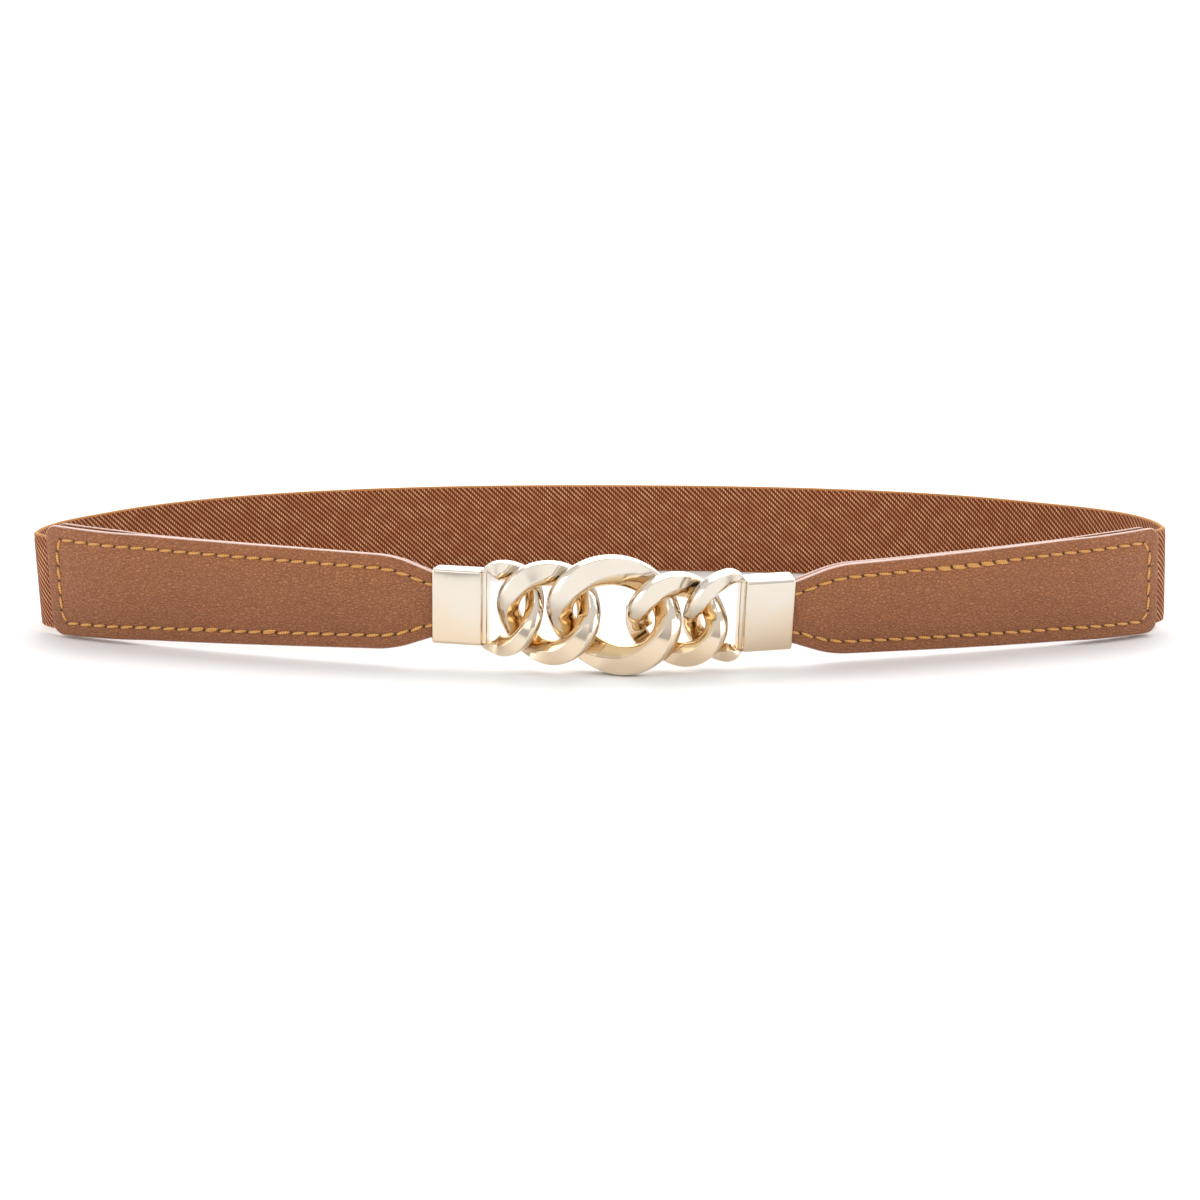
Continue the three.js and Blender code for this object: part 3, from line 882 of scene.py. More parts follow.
@dataclass
class Tab:
    """One leather tab: a padded face and a plain lining, stitched together along the edge."""

    loop: Loop
    side: BeltSide
    leather: bpy.types.Material
    thread: bpy.types.Material
    neck_half: float = 8.25
    corner: float = 3.5
    shoulder_radius: float = 25.0
    slope: float = 0.36
    seam: float = 3.5
    seam_corner: float = 1.6
    pitch: float = 3.9
    edge_radius: float = 0.65
    overlap: float = 18.0
    apart: float = 0.15
    apart_round_band: float = 1.05
    parting: float = 12.0
    groove_depth: float = 0.16
    groove_width: float = 0.55
    margin_swell: float = 0.07
    sway: float = 0.05
    stitch_half: float = 0.4
    stitch_half_height: float = 0.3
    stitch_lift: float = 0.1
    stitch_gap: float = 0.55
    stitch_slant: float = 0.09
    doubled_along: float = 0.06
    doubled_aside: float = 0.1
    doubled_lift: float = 0.14
    painted: tuple[float, float] = (0.05, 0.36)
    hole_shade_reach: tuple[float, float] = (0.28, 0.62)

    def sides(self, from_end: Array) -> Array:
        """Half the tab's width, without its round corners, at distances from its wide end.

        A straight slow taper, a round shoulder and a straight slope that ends at the neck.

        Args:
            from_end: Distances from the wide end.

        Returns:
            Half widths.
        """
        turn = math.atan(self.slope)
        tangent = self.shoulder_radius * math.tan(turn / 2)
        end, shoulder = self.side.end_half, self.side.shoulder_half
        vertex = self.side.tab - (shoulder - self.neck_half) / self.slope
        taper = end + (shoulder - end) * np.clip(from_end / vertex, 0, 1)
        into = np.clip(from_end - (vertex - tangent), 0, self.shoulder_radius * math.sin(turn))
        arc = taper - (self.shoulder_radius - np.sqrt(self.shoulder_radius**2 - into**2))
        slope = shoulder - (from_end - vertex) * self.slope
        past = from_end - (vertex - tangent) > self.shoulder_radius * math.sin(turn)
        return np.maximum(np.where(past, slope, arc), self.neck_half)

    def halves(self, from_end: Array) -> Array:
        """Half the tab's width with its round corners."""
        into = np.clip(self.corner - from_end, 0, self.corner)
        return self.sides(from_end) - (self.corner - np.sqrt(self.corner**2 - into**2))

    def inside(self, from_end: Array, across: Array, inset: float, corner: float) -> Array:
        """How far points lie inside the outline, or inside the seam line.

        Near a corner it is the radius less the distance from the corner's centre, and elsewhere the least
        distance from a side or from the end.

        Args:
            from_end: Distances from the wide end.
            across: Distances from the middle line.
            inset: The seam's distance from the outline, or 0.
            corner: The corner radius.

        Returns:
            Distances, positive inside.
        """
        a = from_end - inset
        b = self.sides(from_end) - inset - np.abs(across)
        round_it = corner - np.hypot(np.maximum(corner - a, 0), np.maximum(corner - b, 0))
        return np.where((a < corner) & (b < corner), round_it, np.minimum(a, b))

    def near(self, from_end: Array) -> Array:
        """How far the layers' inner sides stand off the middle line, parted where the band lies between."""
        parted = 1 - smooth(from_end, self.overlap, self.overlap + self.parting)
        return self.apart + (self.apart_round_band - self.apart) * parted

    def thickness(self, layer: Layer, from_end: Array, across: Array) -> Array:
        """A layer's thickness: rounded at the edge, drawn in along the seam and padded within it.

        The edge is a quarter circle, the seam's groove a bell curve, the margin half a sine wave and the sway
        a product of two sine waves. All but the edge fade out before the cap.

        Args:
            layer: The layer.
            from_end: Distances from the wide end.
            across: Distances from the middle line.

        Returns:
            Thicknesses.
        """
        cut = CUTS[layer]
        edge = self.inside(from_end, across, 0, self.corner)
        seam = self.inside(from_end, across, self.seam, self.seam_corner)
        short = np.clip(1 - edge / self.edge_radius, 0, 1)
        drop = self.edge_radius * (1 - np.sqrt(1 - short**2))
        groove = self.groove_depth * np.exp(-((seam / self.groove_width) ** 2))
        pad = cut.padding * smooth(seam, 0.2, 4.5)
        margin = self.margin_swell * np.sin(np.pi * np.clip((edge - 0.4) / 2.8, 0, 1))
        sway = self.sway * np.sin(from_end / 7.3 + 0.5 * across) * np.sin(across / 4.1 + from_end / 23.0)
        closing = 1 - smooth(from_end, self.side.tab - 4, self.side.tab)
        return cut.thickness - drop + closing * (pad + margin + sway * smooth(seam, 1, 4) - groove)

    def place(self, layer: Layer, from_end: Array, across: Array, thickness: Array) -> Array:
        """Points on a layer.

        Args:
            layer: The layer, outside the middle line or inside it.
            from_end: Distances from the wide end.
            across: Distances up from the middle line.
            thickness: Distances from the layer's inner side.

        Returns:
            Points in millimetres.
        """
        along = self.loop.tab_end[self.side.name] + self.side.sign * from_end
        middle, up, out = self.loop.stand(along)
        sign = 1 if layer is Layer.FACE else -1
        off = sign * (self.near(from_end) + thickness)
        return middle + up * across[..., None] + out * off[..., None]

    def seam_line(self) -> Array:
        """The seam as (from_end, across) points a pitch apart, from the cap round the wide end and back.

        Returns:
            Array (holes, 2).
        """
        straight = np.linspace(self.side.tab + 1.5, self.seam + self.seam_corner, 400)
        top = np.stack([straight, self.sides(straight) - self.seam], axis=-1)
        turn = np.linspace(0, np.pi / 2, 24)[1:]
        height = self.sides(np.array([self.seam]))[0] - self.seam
        round_end = self.seam + self.seam_corner - self.seam_corner * np.sin(turn)
        corner = np.stack([round_end, height - self.seam_corner + self.seam_corner * np.cos(turn)], axis=-1)
        upper = np.concatenate([top, corner])
        line = np.concatenate([upper, upper[::-1] * [1, -1]])
        gaps = np.linalg.norm(np.diff(line, axis=0), axis=1)
        run = np.concatenate([[0], np.cumsum(gaps)])
        count = int(run[-1] / self.pitch)
        at = np.linspace(0, run[-1], count + 1)
        return np.stack([np.interp(at, run, line[:, k]) for k in (0, 1)], axis=-1)

    def layer_skin(self, layer: Layer) -> Skin:
        """One layer: sections across the tab, with more points near the edges, carried from its wide end.

        The edge is painted where it is near the outline, and darkened with painted shade within a small distance of
        each needle hole.

        Args:
            layer: The layer.

        Returns:
            Its skin, with marks for the painted edge and for the painted shade of the needle holes.
        """
        shrink = CUTS[layer].smaller
        rim = np.array([0, 0.03, 0.1, 0.2, 0.34, 0.52, 0.8, 1.2])
        tab, pocket = self.side.tab, self.loop.pocket - 0.3
        steps = np.concatenate([rim, np.linspace(1.6, tab, 250), tab + np.linspace(0, pocket, 6)[1:]])
        half = self.halves(steps) - shrink
        inner = np.linspace(-1, 1, 72)[1:-1]
        side = half[:, None] - rim
        across = np.concatenate([-side, inner * (half[:, None] - rim[-1]), side[:, ::-1]], axis=1)
        from_end = np.broadcast_to(steps[:, None], across.shape)
        scale = self.halves(steps)[:, None] / half[:, None]
        front = self.thickness(layer, from_end, across * scale)
        moved = from_end + np.where(from_end < tab, shrink, 0.0)
        outside = self.place(layer, moved, across, front)
        back_across = across[:, ::-1][:, 3:-3]
        unmarked = np.zeros_like(back_across)
        back = self.place(layer, moved[:, 3:-3], back_across, unmarked)
        points = np.concatenate([outside, back], axis=1)
        columns = np.concatenate([from_end, from_end[:, 3:-3]], axis=1), np.concatenate([across, back_across], axis=1)
        place = np.stack(columns, axis=-1)
        depth = self.inside(from_end, across * scale, 0, self.corner)
        edge = np.concatenate([1 - smooth(depth, *self.painted), unmarked], axis=1)
        # painted shade round each needle hole
        holes = self.seam_line()
        gap = np.hypot(from_end[..., None] - holes[:, 0], (across * scale)[..., None] - holes[:, 1]).min(axis=-1)
        hole = np.concatenate([1 - smooth(gap, *self.hole_shade_reach), unmarked], axis=1)
        return Skin(points, surface=place, marks={"edge": edge, "hole": hole})

    def stitches(self, layer: Layer) -> tuple[Array, Array]:
        """All stitches of one layer, as short spindles along the seam.

        Each spindle is a ring of points that swells from a needle hole, lies on the leather and narrows into
        the next hole. Its axis is turned a few degrees from the seam.

        Args:
            layer: The layer that they lie on.

        Returns:
            Array of points (stitches, rings, columns, 3) and of places (stitches, rings, columns, 2).
        """
        holes = self.seam_line()
        start, end = holes[:-1], holes[1:]
        again = self.doubled(start)
        step = (end - start)[again]
        first, second = (
            hole[again] + self.doubled_along * step + self._beside(step) * self.doubled_aside for hole in (start, end)
        )
        lift = np.concatenate([np.zeros(len(start)), np.full(len(step), self.doubled_lift)])
        start, end = np.concatenate([start, first]), np.concatenate([end, second])
        size = np.linalg.norm(end - start, axis=1, keepdims=True)
        along = (end - start) / size
        aside = self._beside(along)
        run = np.linspace(0, 1, 9)
        angle = np.linspace(0, 2 * np.pi, 8, endpoint=False)
        swell = (np.sin(np.pi * np.clip(run, 0.02, 0.98)) ** 0.45)[:, None]
        reach = (run - 0.5) * (size - self.stitch_gap)
        tilt = self.stitch_slant * (run - 0.5) * size
        middle = (start + end)[:, None] / 2 + along[:, None] * reach[..., None] + aside[:, None] * tilt[..., None]
        wide = self.stitch_half * swell * np.cos(angle)
        side = middle[:, :, None] + aside[:, None, None] * wide[..., None]
        from_end, across = side[..., 0], side[..., 1]
        high = self.stitch_lift * swell + self.stitch_half_height * swell * np.sin(angle)
        rise = self.thickness(layer, from_end, across) + lift[:, None, None] + high
        place = np.broadcast_arrays(run[:, None] * size[:, :, None], angle / (2 * np.pi))
        return self.place(layer, from_end, across, rise), np.stack(place, axis=-1)

    @staticmethod
    def _beside(ways: Array) -> Array:
        """Ways turned a quarter to their left."""
        return np.stack([-ways[:, 1], ways[:, 0]], axis=-1)

    def doubled(self, start: Array) -> Array:
        """Marks the stitches that are sewn twice, where the seam was started and fastened off.

        Args:
            start: The stitches' first holes, as (from_end, across).

        Returns:
            Whether each lies between the ends of one of the side's doubled spans.
        """
        from_end, across = start.T
        within = [(from_end > low) & (from_end < high) for low, high in self.side.doubled_spans]
        return np.any(within, axis=0) & (across * self.side.doubled_row > 0)

    def build(self) -> list[bpy.types.Object]:
        """Makes both layers and their stitches and dresses them.

        Returns:
            The face, its stitches, the lining and its stitches.
        """
        pieces = []
        for layer in Layer:
            where = f"{layer.value}_{self.side.name}"
            node = f"tab_{where}"
            piece = self.layer_skin(layer).to_object(f"leather_{where}", self.leather)
            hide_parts(node)
            seam = spindles(f"stitches_{where}", *self.stitches(layer), self.thread)
            pieces += [settle(piece, "leather"), settle(seam, "leather")]
        return pieces


def spindles(name: str, points: Array, place: Array, material: bpy.types.Material) -> bpy.types.Object:
    """Many small closed tubes in one mesh, from one array.

    A face is the quad between two neighbours on two rings, and a tube's ends are one face each. Where the
    faces' normals point to the tubes' middles on the whole, all faces are turned round.

    Args:
        name: The piece's name.
        points: Array (tubes, rings, columns, 3) in millimetres.
        place: Array (tubes, rings, columns, 2), the place on each tube.
        material: The finish.

    Returns:
        The new object.
    """
    tubes, rings, columns = points.shape[:3]
    t, i, j = np.meshgrid(np.arange(tubes), np.arange(rings - 1), np.arange(columns), indexing="ij")
    ring, beside = (t * rings + i) * columns, (j + 1) % columns
    quads = np.stack([ring + j, ring + beside, ring + columns + beside, ring + columns + j], axis=-1).reshape(-1, 4)
    flat = points.reshape(-1, 3)
    a, b, c, d = (flat[quads[:, n]] for n in range(4))
    centre = np.repeat(points.reshape(tubes, -1, 3).mean(axis=1), (rings - 1) * columns, axis=0)
    first = (np.arange(tubes) * rings * columns)[:, None] + np.arange(columns)[::-1]
    last = first[:, ::-1] + (rings - 1) * columns
    if (np.cross(c - a, d - b) * ((a + b + c + d) / 4 - centre)).sum() < 0:
        quads, first, last = quads[:, ::-1], first[:, ::-1], last[:, ::-1]
    piece = new_piece(name, flat * MM, [*quads.tolist(), *first.tolist(), *last.tolist()], material)
    corners = np.zeros(len(piece.data.loops), np.int32)
    piece.data.loops.foreach_get("vertex_index", corners)
    layer = piece.data.uv_layers.new(name="surface")
    layer.data.foreach_set("uv", (place.reshape(-1, 2)[corners] * MM).astype(np.float32).ravel())
    return piece


BAR_FACE = np.array(
    # past the front stretch, dip, outer edge of the face, inner edge of the face
    [
        (-90, 1, 0.2, 0.3),
        (-74, 0.99, 0.06, 0.25),
        (-58, 0.85, 0.04, 0.38),
        (-42, 0.52, 0.04, 0.51),
        (-25, 0.2, 0.05, 0.62),
        (-8, 0.03, 0.08, 0.74),
        (8, 0, 0.14, 0.82),
        (25, 0.04, 0.27, 0.79),
        (38, 0.15, 0.36, 0.7),
        (52, 0.4, 0.39, 0.54),
        (68, 0.77, 0.34, 0.4),
    ]
)
OUTER_FLANK = np.array([(0.4, 0.22), (0.0, 0.6), (0.15, 1.0)])
INNER_FLANK = np.array([(0.45, 0.2), (0.0, 0.58), (0.2, 1.0)])


@dataclass
class CurbBar:
    """The bar of a curb link: a flat crescent face with crisp edges over a rounded body."""

    link: Link
    front_angle: float = 123.0
    fillet: float = 0.16
    flank_points: int = 31
    turn_reach: float = 5.2
    turn_drop: float = 3.4
    turn_angle: float = 75.0
    turn_narrowing: float = 0.55
    turn_dip: float = 0.4

    def face(self, angle: Array) -> tuple[Array, Array, Array]:
        """The bar at angles round the link: its dip and its face's outer and inner edges.

        The rows of BAR_FACE repeat each half turn and are joined by cubic curves whose slope at a row is that
        between its neighbours.

        Args:
            angle: Angles in radians.

        Returns:
            Dip, outer edge and inner edge.
        """
        past = (np.degrees(angle) - self.front_angle + 90) % 180 - 90
        table = np.concatenate([BAR_FACE[-1:] - [180, 0, 0, 0], BAR_FACE, BAR_FACE[:3] + [180, 0, 0, 0]])
        i = np.searchsorted(table[:, 0], past, side="right") - 1
        r0, r1, r2, r3 = (table[i + k] for k in (-1, 0, 1, 2))
        span = (r2 - r1)[..., :1]
        u = ((past - r1[..., 0]) / span[..., 0])[..., None]
        slope1 = (r2 - r0) / (r2 - r0)[..., :1] * span
        slope2 = (r3 - r1) / (r3 - r1)[..., :1] * span
        ends = (2 * u**3 - 3 * u**2 + 1) * r1 + (3 * u**2 - 2 * u**3) * r2
        value = ends + (u**3 - 2 * u**2 + u) * slope1 + (u**3 - u**2) * slope2
        return value[..., 1], value[..., 2], value[..., 3]

    def outline(self, angle: Array) -> tuple[Array, Array, Array]:
        """The outline at angles round the link.

        A link's outline is an ellipse. A half link's is half of one about its crown, and past the crown it
        turns into the cap's corner along a smaller ellipse, twice as fast.

        Args:
            angle: Angles in radians, from -pi to pi for a half link.

        Returns:
            Its points, its outward normals, and how far it has turned into the corner, from 0 to 1.
        """
        crown = self.link.crown or 0.0
        a, b = self.link.length / 2 - crown, self.link.height / 2
        point = np.stack([crown + a * np.cos(angle), b * np.sin(angle)], axis=-1)
        normal = np.stack([np.cos(angle) / a, np.sin(angle) / b], axis=-1)
        turned = np.zeros_like(angle)
        if self.link.crown is not None:
            turn = 2 * np.clip(np.abs(angle) - np.pi / 2, 0, None)
            up = np.sign(angle)
            height = b - self.turn_drop * (1 - np.cos(turn))
            corner = np.stack([crown - self.turn_reach * np.sin(turn), up * height], axis=-1)
            slant = np.stack([-np.sin(turn) / self.turn_reach, up * np.cos(turn) / self.turn_drop], axis=-1)
            past = (turn > 0)[:, None]
            point, normal = np.where(past, corner, point), np.where(past, slant, normal)
            turned = turn / math.radians(self.turn_angle)
        return point, normal / np.linalg.norm(normal, axis=1, keepdims=True), turned

    def section(self, angle: Array) -> Array:
        """The bar's closed section at angles: its flanks as one smooth curve, its face, and small fillets.

        The flanks are a curve through the corners of the bar, with the slope at each between its neighbours.

        Args:
            angle: Angles in radians.

        Returns:
            Array (angles, columns, 2): in from the outer side, and back from the front.
        """
        dip, outer, inner = self.face(angle)
        turned = self.outline(angle)[2]
        dip = dip + (self.turn_dip - dip) * smooth(turned, 0, 1)
        width = self.link.end_width + (self.link.top_width - self.link.end_width) * np.sin(angle) ** 2
        width = width * (1 - self.turn_narrowing * smooth(turned, 0.25, 1))
        rows = len(angle)
        corners = np.zeros((rows, 8, 2))
        corners[:, 0, 0], corners[:, 7, 0] = outer, inner
        corners[:, 1:4, 0] = OUTER_FLANK[:, 0] * outer[:, None]
        corners[:, 1:4, 1] = OUTER_FLANK[:, 1]
        corners[:, 4:7, 0] = (1 - INNER_FLANK[:, 0] * (1 - inner[:, None]))[:, ::-1]
        corners[:, 4:7, 1] = INNER_FLANK[::-1, 1]
        corners *= np.stack([width, np.full(rows, BAR_DEPTH)], axis=-1)[:, None]
        face_width = corners[:, 7, 0] - corners[:, 0, 0]
        fillet = np.minimum(self.fillet, 0.3 * np.maximum(face_width, 0.02))
        first = fillet / np.linalg.norm(corners[:, 1] - corners[:, 0], axis=1)
        last = fillet / np.linalg.norm(corners[:, 6] - corners[:, 7], axis=1)
        u = first[:, None] + (7 - last - first)[:, None] * np.linspace(0, 1, self.flank_points)
        flank = self._through(corners, u)
        face = corners[:, 7:8] + (corners[:, :1] - corners[:, 7:8]) * self._face_steps(fillet, face_width)[..., None]
        turn = np.linspace(0, 1, 5)[1:-1][None, :, None]
        at_inner = self._bend(flank[:, -1:], corners[:, 7:8], face[:, :1], turn)
        at_outer = self._bend(face[:, -1:], corners[:, :1], flank[:, :1], turn)
        loop = np.concatenate([flank, at_inner, face, at_outer], axis=1)
        loop += np.stack([dip * self.link.pull, dip * BAR_SWING], axis=-1)[:, None]
        return loop

    @staticmethod
    def _face_steps(fillet: Array, face_width: Array) -> Array:
        """Shares across the face, close together by its edges, from one fillet to the other.

        Args:
            fillet: The fillets' sizes.
            face_width: The face's widths.

        Returns:
            Array (rows, 9).
        """
        start = (fillet / np.maximum(face_width, 0.05))[:, None]
        shares = np.array([0, 0.02, 0.1, 0.3, 0.5, 0.7, 0.9, 0.98, 1])[None]
        return start + (1 - 2 * start) * shares

    @staticmethod
    def _bend(first: Array, corner: Array, second: Array, turn: Array) -> Array:
        """A quadratic curve from first to second that a corner pulls out."""
        return first * (1 - turn) ** 2 + 2 * corner * turn * (1 - turn) + second * turn**2

    @staticmethod
    def _through(corners: Array, u: Array) -> Array:
        """A smooth curve through the corners, read at u in corners.

        Its way at a corner is between those of the two chords that meet there, nearer the shorter one's.

        Args:
            corners: Array (rows, corners, 2).
            u: Array (rows, samples).

        Returns:
            Array (rows, samples, 2).
        """
        count = corners.shape[1]
        i = np.clip(np.floor(u).astype(int), 0, count - 2)
        f = (u - i)[..., None]
        chords = np.diff(corners, axis=1)
        lengths = np.linalg.norm(chords, axis=2, keepdims=True)
        ways = chords / lengths
        before, after = lengths[:, :-1], lengths[:, 1:]
        middle = (ways[:, :-1] * after + ways[:, 1:] * before) / (before + after)
        slopes = np.concatenate([ways[:, :1], middle, ways[:, -1:]], axis=1)
        row = np.arange(len(corners))[:, None]
        p, q, size = corners[row, i], corners[row, i + 1], lengths[row, i]
        m, n = slopes[row, i] * size, slopes[row, i + 1] * size
        ends = (2 * f**3 - 3 * f**2 + 1) * p + (3 * f**2 - 2 * f**3) * q
        return ends + (f**3 - 2 * f**2 + f) * m + (f**3 - f**2) * n

    def skin(self, start: float = 0.0, end: float = 360.0, steps: int = 300) -> Skin:
        """The bar swept along the link's outline, its section laid in along the outline's normal.

        Args:
            start: First angle in degrees.
            end: Last angle in degrees.
            steps: Sections.

        Returns:
            The link's skin, or a part of it, with its inner flank marked.
        """
        joined = abs(end - start - 360) < 1e-6
        angle = np.radians(np.linspace(start, end, steps, endpoint=not joined))
        point, normal, _ = self.outline(angle)
        section = self.section(angle)
        flat = point[:, None] - section[..., :1] * normal[:, None]
        points = np.stack([flat[..., 0], section[..., 1] - LINK_THICKNESS / 2, flat[..., 1]], axis=-1)
        run = np.linspace(0, 1, self.flank_points)
        inner = smooth(run, 0.4, 0.6) * (1 - smooth(run, 0.93, 1.0))
        inner = np.concatenate([inner, np.zeros(section.shape[1] - len(inner))])
        return Skin(points, joined=joined, marks={"inner": inner[None]})


@dataclass
class EndCap:
    """A box clamp on a tab's neck, with a half link cast on its end."""

    chain: Chain
    side: BeltSide
    gold: bpy.types.Material
    length: float = 12.9
    height: float = 19.0
    thickness: float = 6.0
    corner: float = 0.9
    pocket: float = 8.0
    pocket_height: float = 17.1
    pocket_thickness: float = 3.6
    pocket_corner: float = 0.3
    pocket_shift: float = -0.15
    mouth_ease: float = 0.2
    crown: float = 0.1
    shank: float = 1.0
    shank_thickness: float = 3.4
    shank_corner: float = 0.6
    eye_reach: float = 127.5

    def block(self) -> Skin:
        """The box: a round-cornered section carried from its closed end to its mouth and back into it.

        Its walls are crowned by a product of two parabolas, along and across.

        Returns:
            The box's skin, with its mouth at negative x.
        """
        edge = np.array([(0, 0.9), (0.04, 0.55), (0.16, 0.26), (0.36, 0.08), (0.65, 0.0)])
        walls = np.linspace(1.0, self.length - 0.9, 22)
        into = np.array([(0, self.mouth_ease), (0.3, 0), (self.pocket, 0)])
        x = -np.concatenate([edge[:, 0], walls, self.length - edge[::-1, 0], self.length - into[:, 0]])
        inset = np.concatenate([edge[:, 1], 0 * walls, edge[::-1, 1]])
        half_y = np.concatenate([self.thickness / 2 - inset, self.pocket_thickness / 2 + into[:, 1]])
        half_z = np.concatenate([self.height / 2 - inset, self.pocket_height / 2 + into[:, 1]])
        in_pocket = np.arange(len(x)) >= len(inset)
        radius = np.where(in_pocket, self.pocket_corner, self.corner)
        loop = self._filled(rounded_rectangle(half_y, half_z, radius, 7))
        along = 1 - ((x + self.length / 2) / (self.length / 2)) ** 2
        over = 1 - (loop[..., 1] / (self.height / 2)) ** 2
        swell = self.crown * np.clip(along, 0, 1)[:, None] * np.clip(over, 0, 1) * np.sign(loop[..., 0])
        y = loop[..., 0] + np.where(in_pocket[:, None], self.pocket_shift, swell)
        return Skin(np.stack([np.broadcast_to(x[:, None], y.shape), y, loop[..., 1]], axis=-1))

    @staticmethod
    def _filled(loop: Array) -> Array:
        """Adds points along the straight sides between the round corners, six to a side.

        Args:
            loop: Array (rows, 4 corners' points, 2).

        Returns:
            The loop with the sides' points between the corners'.
        """
        rows, columns = loop.shape[:2]
        per = columns // 4
        parts = []
        for quarter in range(4):
            corner = loop[:, quarter * per : (quarter + 1) * per]
            after = loop[:, ((quarter + 1) * per) % columns]
            share = np.linspace(0, 1, 8)[1:-1][None, :, None]
            parts += [corner, corner[:, -1:] * (1 - share) + after[:, None] * share]
        return np.concatenate(parts, axis=1)

    def bar(self) -> Skin:
        """The straight bar along the box's end, where the half link springs from it: one section carried up.

        Returns:
            The bar's skin.
        """
        z = np.linspace(-1, 1, 24) * (EYE.height - EYE.top_width) / 2
        loop = rounded_rectangle(self.shank, self.shank_thickness / 2, self.shank_corner, 7)
        return Skin(np.stack(np.broadcast_arrays(loop[..., 0], loop[..., 1], z[:, None]), axis=-1))

    def build(self) -> list[bpy.types.Object]:
        """Makes the box, its bar and the half link and dresses them.

        Returns:
            The three pieces.
        """
        station = self.chain.stations()[self.side.name]
        eye = CurbBar(EYE).skin(-self.eye_reach, self.eye_reach, 260)
        pieces = []
        for name, skin in {"cap": self.block(), "cap_bar": self.bar(), "cap_eye": eye}.items():
            placed = self.chain.hang(skin, station, self.side.cap_height, self.side.cap_lean, self.side is RIGHT)
            pieces.append(settle(placed.to_object(f"{name}_{self.side.name}", self.gold), "gold"))
        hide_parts(f"end_cap_{self.side.name}")
        return pieces


@dataclass
class Buckle:
    """The three loose links, the right one open behind and carrying the hook's flat tongue."""

    chain: Chain
    gold: bpy.types.Material
    side_height: float = 15.4
    centre_height: float = 15.1
    hook_height: float = 13.9
    side_lean: float = -2.0
    hook_lean: float = 3.0
    hook_start: float = -112.0
    hook_end: float = 200.0
    tongue_start: float = 166.0
    tongue_end: float = 238.0
    tongue_inside: float = 0.8
    tongue_width: float = 4.4
    tongue_thickness: float = 1.9

    def tongue(self) -> Skin:
        """The flat curved tongue: a stretch of the link's ring, a little inside its outline, with eased edges.

        Its outline runs along an outer ellipse and back along an inner one, and is carried through its
        thickness.

        Returns:
            Its skin, about the hook link's middle.
        """
        eased = np.array([(0, 0.35), (0.1, 0.12), (0.3, 0.0), (1.6, 0.0), (1.8, 0.12), (1.9, 0.35)])
        inset = eased[:, 1][:, None]
        share = np.linspace(0, 1, 40)[None]
        a, b = HOOK_LINK.length / 2 - self.tongue_inside, HOOK_LINK.height / 2 - self.tongue_inside
        trim = np.degrees(inset / a)
        angle = np.radians(self.tongue_start + trim + (self.tongue_end - self.tongue_start - 2 * trim) * share)
        outer = np.stack([(a - inset) * np.cos(angle), (b - inset) * np.sin(angle)], axis=-1)
        far = self.tongue_width - inset
        inner = np.stack([(a - far) * np.cos(angle), (b - far) * np.sin(angle)], axis=-1)[:, ::-1]
        loop = np.concatenate([outer, inner], axis=1)
        y = np.broadcast_to((LINK_THICKNESS / 2 - self.tongue_thickness + eased[:, 0])[:, None], loop.shape[:2])
        return Skin(np.stack([loop[..., 0], y, loop[..., 1]], axis=-1))

    def build(self) -> list[bpy.types.Object]:
        """Makes the links and the tongue and dresses them.

        Returns:
            The side, centre and hook links and the tongue.
        """
        stations = self.chain.stations()
        side = (stations["side"], self.side_height, self.side_lean)
        centre = (stations["centre"], self.centre_height, 0.0)
        hook = (stations["hook"], self.hook_height, self.hook_lean)
        rows = (
            ("side_curb", "side_link", CurbBar(SIDE_LINK).skin(), side),
            ("centre_curb", "centre_link", CurbBar(CENTRE_LINK).skin(), centre),
            ("hook_curb", "hook_link", CurbBar(HOOK_LINK).skin(self.hook_start, self.hook_end), hook),
            ("hook_tongue", "hook_link", self.tongue(), hook),
        )
        pieces = []
        for name, node, skin, hung in rows:
            piece = self.chain.hang(skin, *hung).to_object(name, self.gold)
            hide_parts(node)
            pieces.append(settle(piece, "gold"))
        return pieces


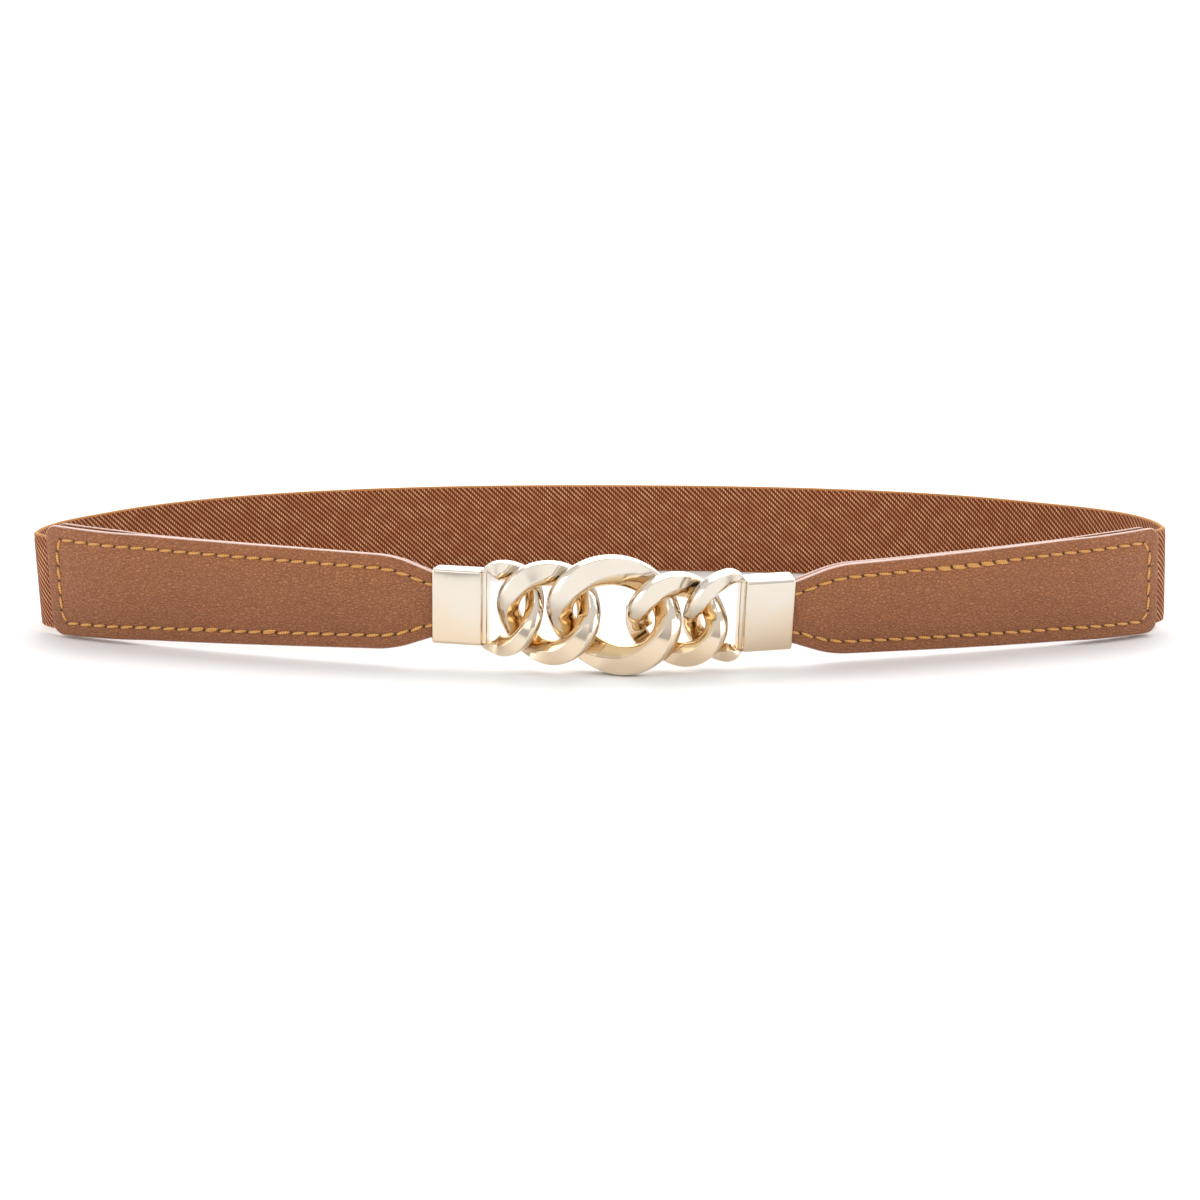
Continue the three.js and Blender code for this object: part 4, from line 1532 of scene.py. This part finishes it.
@dataclass
class Studio:
    """A plain pale floor that sweeps up behind, soft lights and the camera."""

    lens: float = 81.0
    camera_place: Place = (-0.00045, -0.6981, 0.1771)
    pitch: float = 13.8156
    floor_tone: float = 0.86
    sweep_radius: float = 1.5
    sweep_from: float = 3.5
    sky_height: tuple[float, float] = (-0.1, 0.7)
    sky_strength: tuple[float, float] = (0.56, 0.95)

    def floor(self) -> bpy.types.Object:
        """The floor: flat, then a quarter circle up to a wall far behind.

        Returns:
            The floor, which isn't part of the belt.
        """
        radius, back = self.sweep_radius, self.sweep_from
        turn = np.linspace(0, np.pi / 2, 24)
        y = np.concatenate([[-4.0, -1.0, 1.0], back + radius * np.sin(turn), [back + radius]])
        z = np.concatenate([[0.0, 0.0, 0.0], radius * (1 - np.cos(turn)), [6.0]])
        grid = np.stack(np.broadcast_arrays([-6.0, 6.0], y[:, None], z[:, None]), axis=-1)
        i = np.arange(len(y) - 1) * 2
        quads = np.stack([i, i + 1, i + 3, i + 2], axis=-1)
        s = Shader("pale_floor", Base_Color=(self.floor_tone,) * 3, Roughness=0.85, Specular_IOR_Level=0.1)
        floor = new_piece("floor", grid, quads.tolist(), s.material)
        return floor

    def light(self, name: str, place: Place, aim: Place, size: tuple[float, float], power: float) -> None:
        """One soft white rectangular light that faces a point.

        Its turns are the angles of the way to that point, from straight down and from the y axis.

        Args:
            name: Its name.
            place: Where it is.
            aim: What it faces.
            size: Its sides in metres.
            power: Its power in watts.
        """
        data = bpy.data.lights.new(name, "AREA")
        data.shape = "RECTANGLE"
        data.size, data.size_y = size
        data.energy = power
        lamp = new_object(name, data)
        way = np.array(aim) - np.array(place)
        flat = math.hypot(way[0], way[1])
        lamp.rotation_euler = (math.atan2(flat, -way[2]), 0.0, math.atan2(-way[0], way[1]))
        lamp.location = place

    def sky(self) -> None:
        """Soft light from all round: brighter overhead than at the sides."""
        world = bpy.data.worlds.new("studio")
        bpy.context.scene.world = world
        world.use_nodes = True
        nodes, links = world.node_tree.nodes, world.node_tree.links
        nodes.clear()
        place = nodes.new("ShaderNodeTexCoord").outputs["Generated"]
        parts = nodes.new("ShaderNodeSeparateXYZ")
        links.new(place, parts.inputs[0])
        ramp = nodes.new("ShaderNodeMapRange")
        ramp.interpolation_type = "SMOOTHSTEP"
        for socket, number in zip(ramp.inputs[1:5], (*self.sky_height, *self.sky_strength)):
            socket.default_value = number
        links.new(parts.outputs[2], ramp.inputs[0])
        background = nodes.new("ShaderNodeBackground")
        background.inputs["Color"].default_value = (1.0, 0.995, 0.99, 1.0)
        links.new(ramp.outputs[0], background.inputs["Strength"])
        output = nodes.new("ShaderNodeOutputWorld")
        links.new(background.outputs[0], output.inputs["Surface"])

    def camera(self) -> None:
        """A level camera in front of the belt, a little above it, pitched down onto it."""
        data = bpy.data.cameras.new("camera")
        data.lens = self.lens
        data.sensor_width = 36.0
        data.clip_start, data.clip_end = 0.01, 50.0
        camera = new_object("camera", data)
        camera.location = self.camera_place
        camera.rotation_euler = (math.radians(90 - self.pitch), 0.0, 0.0)
        bpy.context.scene.camera = camera

    def build(self) -> None:
        """Sets the stage."""
        self.floor()
        self.sky()
        self.camera()
        self.light("key", (0.1, 0.5, 1.1), (0.0, 0.0, 0.0), (1.3, 0.8), 5.6)
        self.light("front", (-0.5, -1.3, 0.7), (0.0, 0.0, 0.02), (0.9, 0.7), 1.6)
        self.light("left_end", (-1.4, -0.35, 0.4), (-0.15, 0.0, 0.01), (1.2, 0.8), 6.0)
        self.light("right_end", (1.4, -0.35, 0.4), (0.15, 0.0, 0.01), (1.2, 0.8), 6.0)
        self.light("overhead", (0.0, 2.2, 3.0), (0.0, 2.2, 0.0), (4.0, 3.0), 50.0)
        self.light("sweep", (0.0, 3.2, 3.0), (0.0, 5.0, 1.0), (4.0, 2.0), 130.0)
        bpy.context.scene.view_settings.view_transform = "Standard"


def main() -> None:
    """Builds the belt piece by piece, then the studio."""
    logging.basicConfig(level=logging.INFO, format="%(name)s: %(message)s")
    chain = Chain()
    loop = Loop(chain)
    leather, thread, gold = GrainedLeather().material(), WaxedThread().material(), LightGold().material()
    pieces = [ElasticBand(loop, WovenElastic()).build()]
    for side in (LEFT, RIGHT):
        pieces += Tab(loop, side, leather, thread).build()
        pieces += EndCap(chain, side, gold).build()
    pieces += Buckle(chain, gold).build()
    for piece in pieces:
        LOG.info("%s: %d faces", piece.name, len(piece.data.polygons))
    Studio().build()


if __name__ == "__main__":
    main()
